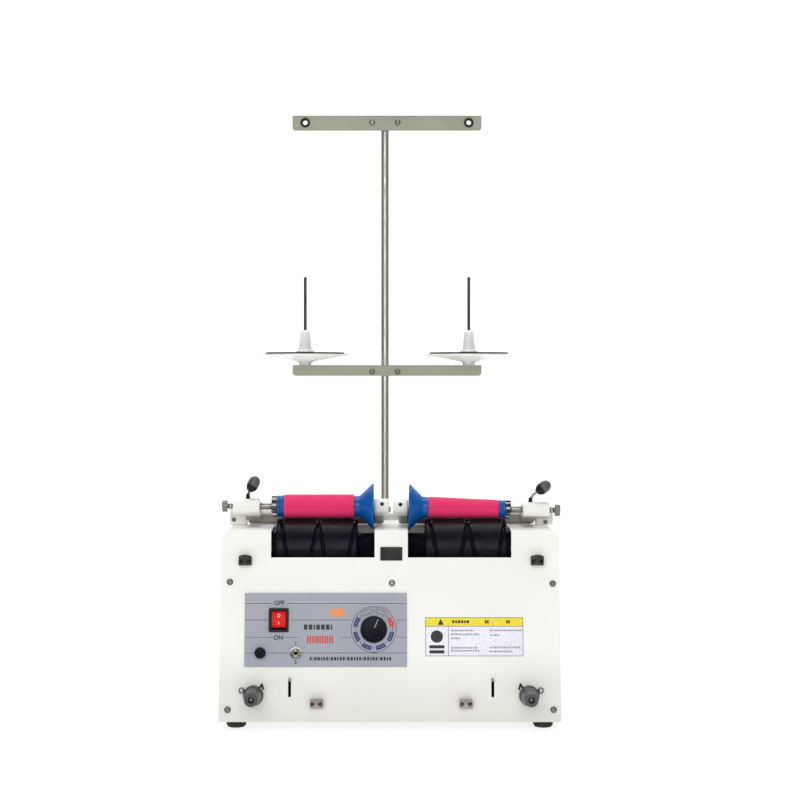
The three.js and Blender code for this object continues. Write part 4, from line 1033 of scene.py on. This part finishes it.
BADGE_X0, BADGE_X1, BADGE_V0, BADGE_V1 = -12.9, 13.1, 187.0, 203.0
badge = plate(rectangle(BADGE_X0, BADGE_X1, BADGE_V0, BADGE_V1, 1.0), 0, 1.0, bevel=0.3)
make("badge_plate", badge, facing(0, 0, 0.05), MATTE_BLACK)
inner = plate(rectangle(BADGE_X0 + 1.6, BADGE_X1 - 1.6, BADGE_V0 + 1.6, BADGE_V1 - 1.6, 0.6), 1.0, 1.25,
    holes=[rectangle(BADGE_X0 + 2.4, BADGE_X1 - 2.4, BADGE_V0 + 2.4, BADGE_V1 - 2.4, 0.4)], bevel=0.05)
make("badge_border", inner, facing(0, 0, 0.05), GUIDE_BLACK)


def guide_mesh(width, height, peak):
    """Guide block with a crowned top and two deep thread eyes."""
    top = [(width / 2 - width * i / 12, height / 2 - peak + 2 * peak * sin(pi * i / 12)) for i in range(13)]
    outline = [(-width / 2, -height / 2), (width / 2, -height / 2)] + top
    eyes = [circle(x, -height / 2 + 4.4, 2.05, 28) for x in (-4.6, 4.6)]
    front = plate(outline, 4, 8.9, holes=eyes, bevel=0.6, steps=3)
    return joined(plate(outline, 0.3, 4.2, bevel=0.3), front)


def eye_liners(height):
    parts = []
    for x in (-4.6, 4.6):
        liner = loop([(1.15, 4.4), (2.0, 4.4), (2.0, 8.2), (1.7, 8.6), (1.3, 8.2)], 0.2, 3)
        parts.append(moved(revolve(liner, 32), at(x, -height / 2 + 4.4, 0), TO_Z))
    return joined(*parts)


GUIDES = {"upper_guide": (172, 187.2, 14.9, 12, 0.9, GUIDE_BLACK, "dark_grey"),
    "lower_guide": (87, 21.5, 14.9, 10.6, 0.15, ZINC, "steel")}
for kind, (x, v, width, height, peak, material, slot_name) in GUIDES.items():
    for name, side in SIDES.items():
        place = facing(side * x, v)
        make_side(name, f"{kind}_block", guide_mesh(width, height - 0.6, peak), place, material,
            kind)
        make_side(name, f"{kind}_eyes", eye_liners(height - 0.6), place, CERAMIC)


TENSION_X, TENSION_V = 160.5, 31.3
FEELER_X, FEELER_V = 118.7, 47.4


def tension_drum():
    """Ribbed drum with stepped rings on its face, drawn along +z."""
    def ribs(angle, along, radius):
        return radius - 0.3 * max(0, cos(36 * angle)) if 4.4 < along < 9.6 and radius > 11.3 else radius
    profile = fillet([(0, 3.4), (11.0, 3.4), (11.7, 4.2), (11.7, 9.9), (11.0, 11.2), (9.6, 11.2), (9.4, 10.7),
        (8.8, 10.7), (8.6, 11.6), (0, 11.6)], [0, 0.3, 0.2, 0.3, 0.6, 0.1, 0.1, 0.1, 0.3, 0], 3)
    return risen(profile, 144, shape=ribs)


def ear_mesh(side):
    """Thread ring on the outer side and a folded prong on the inner side."""
    arm = plate(loop([(side * 9.4, 3.6), (side * 12.6, 4.4), (side * 12.6, 7.2), (side * 8.4, 7.6)], 0.5, 3),
        6.7, 8.2, bevel=0.3)
    ring_ = plate(circle(side * 13.4, 6, 3.8, 36), 6.7, 8.6, holes=[circle(side * 13.4, 6, 2.3, 28)], bevel=0.7,
        steps=3)
    prong = plate(loop([(-side * 5.4, 8.6), (-side * 10.6, 15.6), (-side * 12.9, 7.6), (-side * 11, 6.4),
        (-side * 9.8, 10.6), (-side * 7.2, 6.8)], 0.35, 2), 7.2, 8.4, bevel=0.3)
    return joined(arm, ring_), prong


def tension_knob():
    """Thumb nut with a conical skirt, drawn along +z."""
    def ribs(angle, along, radius):
        return radius - 0.3 * max(0, cos(18 * angle)) if 32.6 < along < 41.4 and radius > 7.7 else radius
    profile = loop([(3.4, 13.2), (10.2, 13.2), (10.3, 14.6), (9.4, 20), (8, 31.4), (8, 41.4), (6.9, 42.9),
        (4.3, 42.9), (3.9, 41.9), (3.4, 41.9)], [0, 0.4, 0.6, 2, 2, 0.3, 0.7, 0.2, 0.2, 0], 3)
    return risen(profile, 144, shape=ribs)


for name, side in SIDES.items():
    axis = JOINTS[f"tension_{name}_turn"]["axis"]
    droop = atan2(axis[2], -axis[1])
    face = at(*on_panel(side * TENSION_X, TENSION_V).translation) @ Matrix.Rotation(-droop, 4, "X") @ UPRIGHT
    seat = risen(fillet([(0, 0.4), (9, 0.4), (9, 4.6), (0, 4.6)], 0.4, 3), 48)
    make_side(name, "tension_seat", seat, facing(side * TENSION_X, TENSION_V), STEEL)
    ring_part, prong = ear_mesh(side)
    make_side(name, "tension_drum", tension_drum(), face, DARK_GREY, "tension_post", sharp=28)
    make_side(name, "tension_eye", ring_part, face, GREY_PAINT)
    make_side(name, "tension_prong", prong, face, MATTE_BLACK)
    stem = risen(fillet([(0, 11), (3, 11), (3, 39.2), (0, 39.2)], [0, 0.2, 0.3, 0], 3), 36)
    make_side(name, "tension_stem", stem, face, STEEL)
    make_side(name, "tension_screw", pan_head(2.9, 1.7), face @ at(0, 0, 39.15), SCREW, sharp=25)
    make_side(name, "tension_thumb_nut", tension_knob(), face, DARK_GREY, "tension_knob",
        body="tension", sharp=28)
    feeler_face = on_panel(side * FEELER_X, FEELER_V)
    wire = sweep([(0, 15, 0), (0, 8, 0), (0, 1, 0), (0, -3.4, 0.1), (0, -4.3, 1.2), (0, -4.2, 2.6)], 1.05, 3, 8)
    hub = revolve(fillet([(0, -4), (3.4, -4), (3.4, 4), (0, 4)], 0.5, 3), 32)
    make_side(name, "feeler_wire", joined(wire, moved(hub, at(0, 15, 0))), feeler_face, CHROME,
        "feeler", body="feeler")


# ---- Thread stand

POLE_X, POLE_Y = -8, 215
BAR_X, BAR_W, BAR_Y = -5.4, 243, 207
low, high = span("stand_pole")
pole = fillet([(0, 227.4), (15, 227.4), (15, 229.6), (8, 231), (8, 240.8), (4.9, 240.8), (4.9, high.z),
    (0, high.z)], [0, 0.5, 0.8, 1.5, 0.8, 0.2, 0.6, 0], 4)
make("drawn_pole_tube", risen(pole, 56), at(POLE_X, POLE_Y, 0), POLE_STEEL, "stand_pole")


def bar_mesh(bottom, top, eyes):
    """Angle-section bar, face to the front and flange behind, with room for the pole."""
    x0, x1 = BAR_X - BAR_W / 2, BAR_X + BAR_W / 2
    outline = loop([(x0, bottom), (x1, bottom), (x1, top), (x0, top)], [4.2, 4.2, 0.4, 0.4], 6)
    face = moved(plate(outline, -1.5, 0, holes=eyes, bevel=0.3, steps=3), at(0, BAR_Y, 0) @ UPRIGHT)
    flange = plate(rectangle(x0, x1, BAR_Y, BAR_Y + 18, 0.6), top - 1.5, top,
        holes=[circle(POLE_X, POLE_Y, 5.2, 40)], bevel=0.3, steps=3)
    return joined(face, flange)


def clamp_mesh(bottom, top):
    """Formed clamp behind the bar: two screw wings and a half-round saddle on the pole."""
    half, inner = 6.6, 6.6 * 0.77
    outline = [polar(half, pi * i / 12, 0, 8) for i in range(13)]
    back = [polar(inner, pi * i / 12, 0, 8) for i in reversed(range(13))]
    profile = [(20.5, 1.9), (20.5, 3.4), (half, 3.4)] + outline + [(-half, 3.4), (-20.5, 3.4), (-20.5, 1.9),
        (-inner, 1.9)] + back + [(inner, 1.9)]
    return moved(plate(profile, bottom + 2, top - 2), at(POLE_X, BAR_Y, 0))


EYE_X, EYE_Z = 105, 734.8
STAND_BARS = {"spool_bar": (409.5, 423.3), "guide_bar": (724.6, 744)}
for node, (bottom, top) in STAND_BARS.items():
    eyes = [circle(BAR_X + s * EYE_X, EYE_Z, 4.9, 36) for s in (-1, 1)] if node == "guide_bar" else []
    make(f"{node}_angle", bar_mesh(bottom, top, eyes), IDENTITY, KHAKI, node)
    make(f"{node}_clamp", clamp_mesh(bottom, top), IDENTITY, KHAKI)
    for index, s in enumerate((-1, 1)):
        height = (bottom + top) / 2 + (0.8 if node == "guide_bar" else -1.6)
        screw(f"{node}_screw_{index + 1}", at(POLE_X + s * 16.3, BAR_Y - 0.05, height), 3.7, 2.1,
            30 + 50 * index)

for name, side in SIDES.items():
    eyelet = loop([(3.1, -2.2), (5.4, -2.3), (6.1, -1.6), (6.1, -0.2), (4.6, 0), (4.6, 1.6), (6.1, 1.8),
        (6.1, 3.1), (5.3, 3.8), (3.1, 3.7), (2.95, 0.8)], 0.5)
    make_side(name, "eyelet_ring", moved(revolve(eyelet, 56), TO_Y), at(BAR_X + side * EYE_X, BAR_Y, EYE_Z),
        MATTE_BLACK, "eyelet", sharp=60)
    low, high = span(f"spool_dish_{name}")
    dish_at = at((low.x + high.x) / 2, (low.y + high.y) / 2, low.z)
    dish = fillet([(0, 0), (8, 0), (8, 3.2), (12, 4.6), (53.5, 12), (56.1, 12.6), (56.1, 14), (54.6, 14),
        (52.8, 13.4), (13, 5.8), (11.8, 6.5), (11.8, 15.9), (0, 15.9)],
        [0, 0.6, 0.6, 1, 1, 0.5, 0.5, 0.5, 1, 1, 0.8, 0.8, 0], 3)
    make_side(name, "dish_shell", risen(dish, 96), dish_at, WHITE, "spool_dish", sharp=40)
    pad = loop([(12.2, 14.2), (50.6, 14.2), (50.6, 16.1), (12.2, 16.1)], 0.5, 3)
    make_side(name, "dish_pad", risen(pad, 96), dish_at, FOAM)
    pin_at = dish_at @ at(0, 0, span(f"spool_pin_{name}")[0].z - low.z)
    cone = fillet([(0, 0), (11.5, 0), (11.5, 1.8), (8.2, 3), (6.2, 26), (4.6, 28.4), (0, 28.4)],
        [0, 0.4, 0.6, 0.8, 0.8, 0.8, 0], 4)
    fins = []
    for turn in (45, 135, 225, 315):
        fin = plate([(4, 2), (11.2, 2), (10.4, 6), (7.6, 26.4), (4, 27.6)], -0.7, 0.7, bevel=0.3)
        fins.append(moved(fin, about("Z", turn) @ UPRIGHT))
    make_side(name, "centring_cone", joined(risen(cone, 56), *fins), pin_at, WHITE,
        "spool_pin")
    needle = fillet([(0, 20), (1.95, 20), (1.95, 96), (1.0, 97.4), (0, 97.4)], [0, 0, 0.3, 0.5, 0], 4)
    make_side(name, "steel_pin", risen(needle, 32), pin_at, PIN_STEEL)


# ---- Back of the cabinet

INLET_X, INLET_Z, BACK_Y = 140, 45, 240
blades = []
for dx, dz in ((-5.5, -1.6), (5.5, -1.6), (0, 2.6)):
    blades.append(plate(rectangle(dx - 1, dx + 1, dz - 2.2, dz + 2.2, 0.4), -12, -1.5, bevel=0.2))
make("inlet_blades", joined(*blades), at(INLET_X, BACK_Y, INLET_Z) @ about("Z", 180) @ UPRIGHT, STEEL)
BACK_SCREWS = [(-190, 20), (190, 20), (-190, 205), (190, 205)]
for index, (x, z) in enumerate(BACK_SCREWS):
    screw(f"back_screw_{index + 1}", at(x - 1.5, BACK_Y + 0.05, z) @ about("Z", 180), 3.9, 2.3, 25 * index)


# ---- Stage, light and camera


def backdrop():
    """Pale sweep: a floor that curves up far behind the machine."""
    depth, rise, bend, width = 1.6, 3.2, 0.9, 4.5
    path = [(-1.3, 0.0)]
    for i in range(17):
        angle = pi / 2 * i / 16
        path.append((depth - bend + bend * sin(angle), bend - bend * cos(angle)))
    path.append((depth, rise))
    bm = bmesh.new()
    rows = [[bm.verts.new((x, y, z - 0.0002)) for x in (-width, width)] for y, z in path]
    for a, b in zip(rows, rows[1:]):
        bm.faces.new((a[0], a[1], b[1], b[0]))
    mesh = bpy.data.meshes.new("floor")
    bm.to_mesh(mesh)
    bm.free()
    mesh.shade_smooth()
    n = Nodes("pale_floor")
    mesh.materials.append(n.done(n.ramp(n.noise(3, 2), (0.4, 0.4, 0.4), (0.42, 0.42, 0.42)),
        n.ramp(n.noise(8, 2), 0.55, 0.7), Specular_IOR_Level=0.1, Emission_Color=(1, 1, 1, 1),
        Emission_Strength=0.74))
    linked("floor", mesh)


def soft_light(name, place, target, width, height, power):
    data = bpy.data.lights.new(name, "AREA")
    configured(data, shape="RECTANGLE", size=width, size_y=height, energy=power)
    facing_target = (Vector(target) - Vector(place)).to_track_quat("-Z", "Y").to_euler()
    configured(linked(name, data), location=place, rotation_euler=facing_target)


backdrop()
soft_light("front_box", (-0.3, -2.6, 1.25), (0, 0, 0.25), 2.6, 1.5, 40)
soft_light("side_fill", (1.9, -1.3, 0.9), (0, 0, 0.25), 1.2, 1.2, 3)
soft_light("top_box", (-0.1, 0.1, 2.1), (0, 0, 0.2), 1.4, 1.4, 11)
soft_light("back_wash", (0, 0.9, 2.4), (0, 1.6, 0.9), 2.6, 2.6, 34)

scene = bpy.context.scene
scene.world = bpy.data.worlds.new("studio")
scene.world.use_nodes = True
background = scene.world.node_tree.nodes["Background"].inputs
background["Color"].default_value = (1, 1, 1, 1)
background["Strength"].default_value = 0.17
scene.view_settings.view_transform = "Standard"

CAMERA_DISTANCE, CAMERA_HEIGHT, VIEW_WIDTH, SENSOR = 2000, 417, 931.6, 36
lens = configured(bpy.data.cameras.new("camera"), sensor_width=SENSOR,
    lens=SENSOR * CAMERA_DISTANCE / VIEW_WIDTH, shift_x=0.011, shift_y=-0.0375)
scene.camera = configured(linked("camera", lens), location=ROW @ Vector((0, -CAMERA_DISTANCE, CAMERA_HEIGHT)),
    rotation_euler=(radians(90), 0, 0))
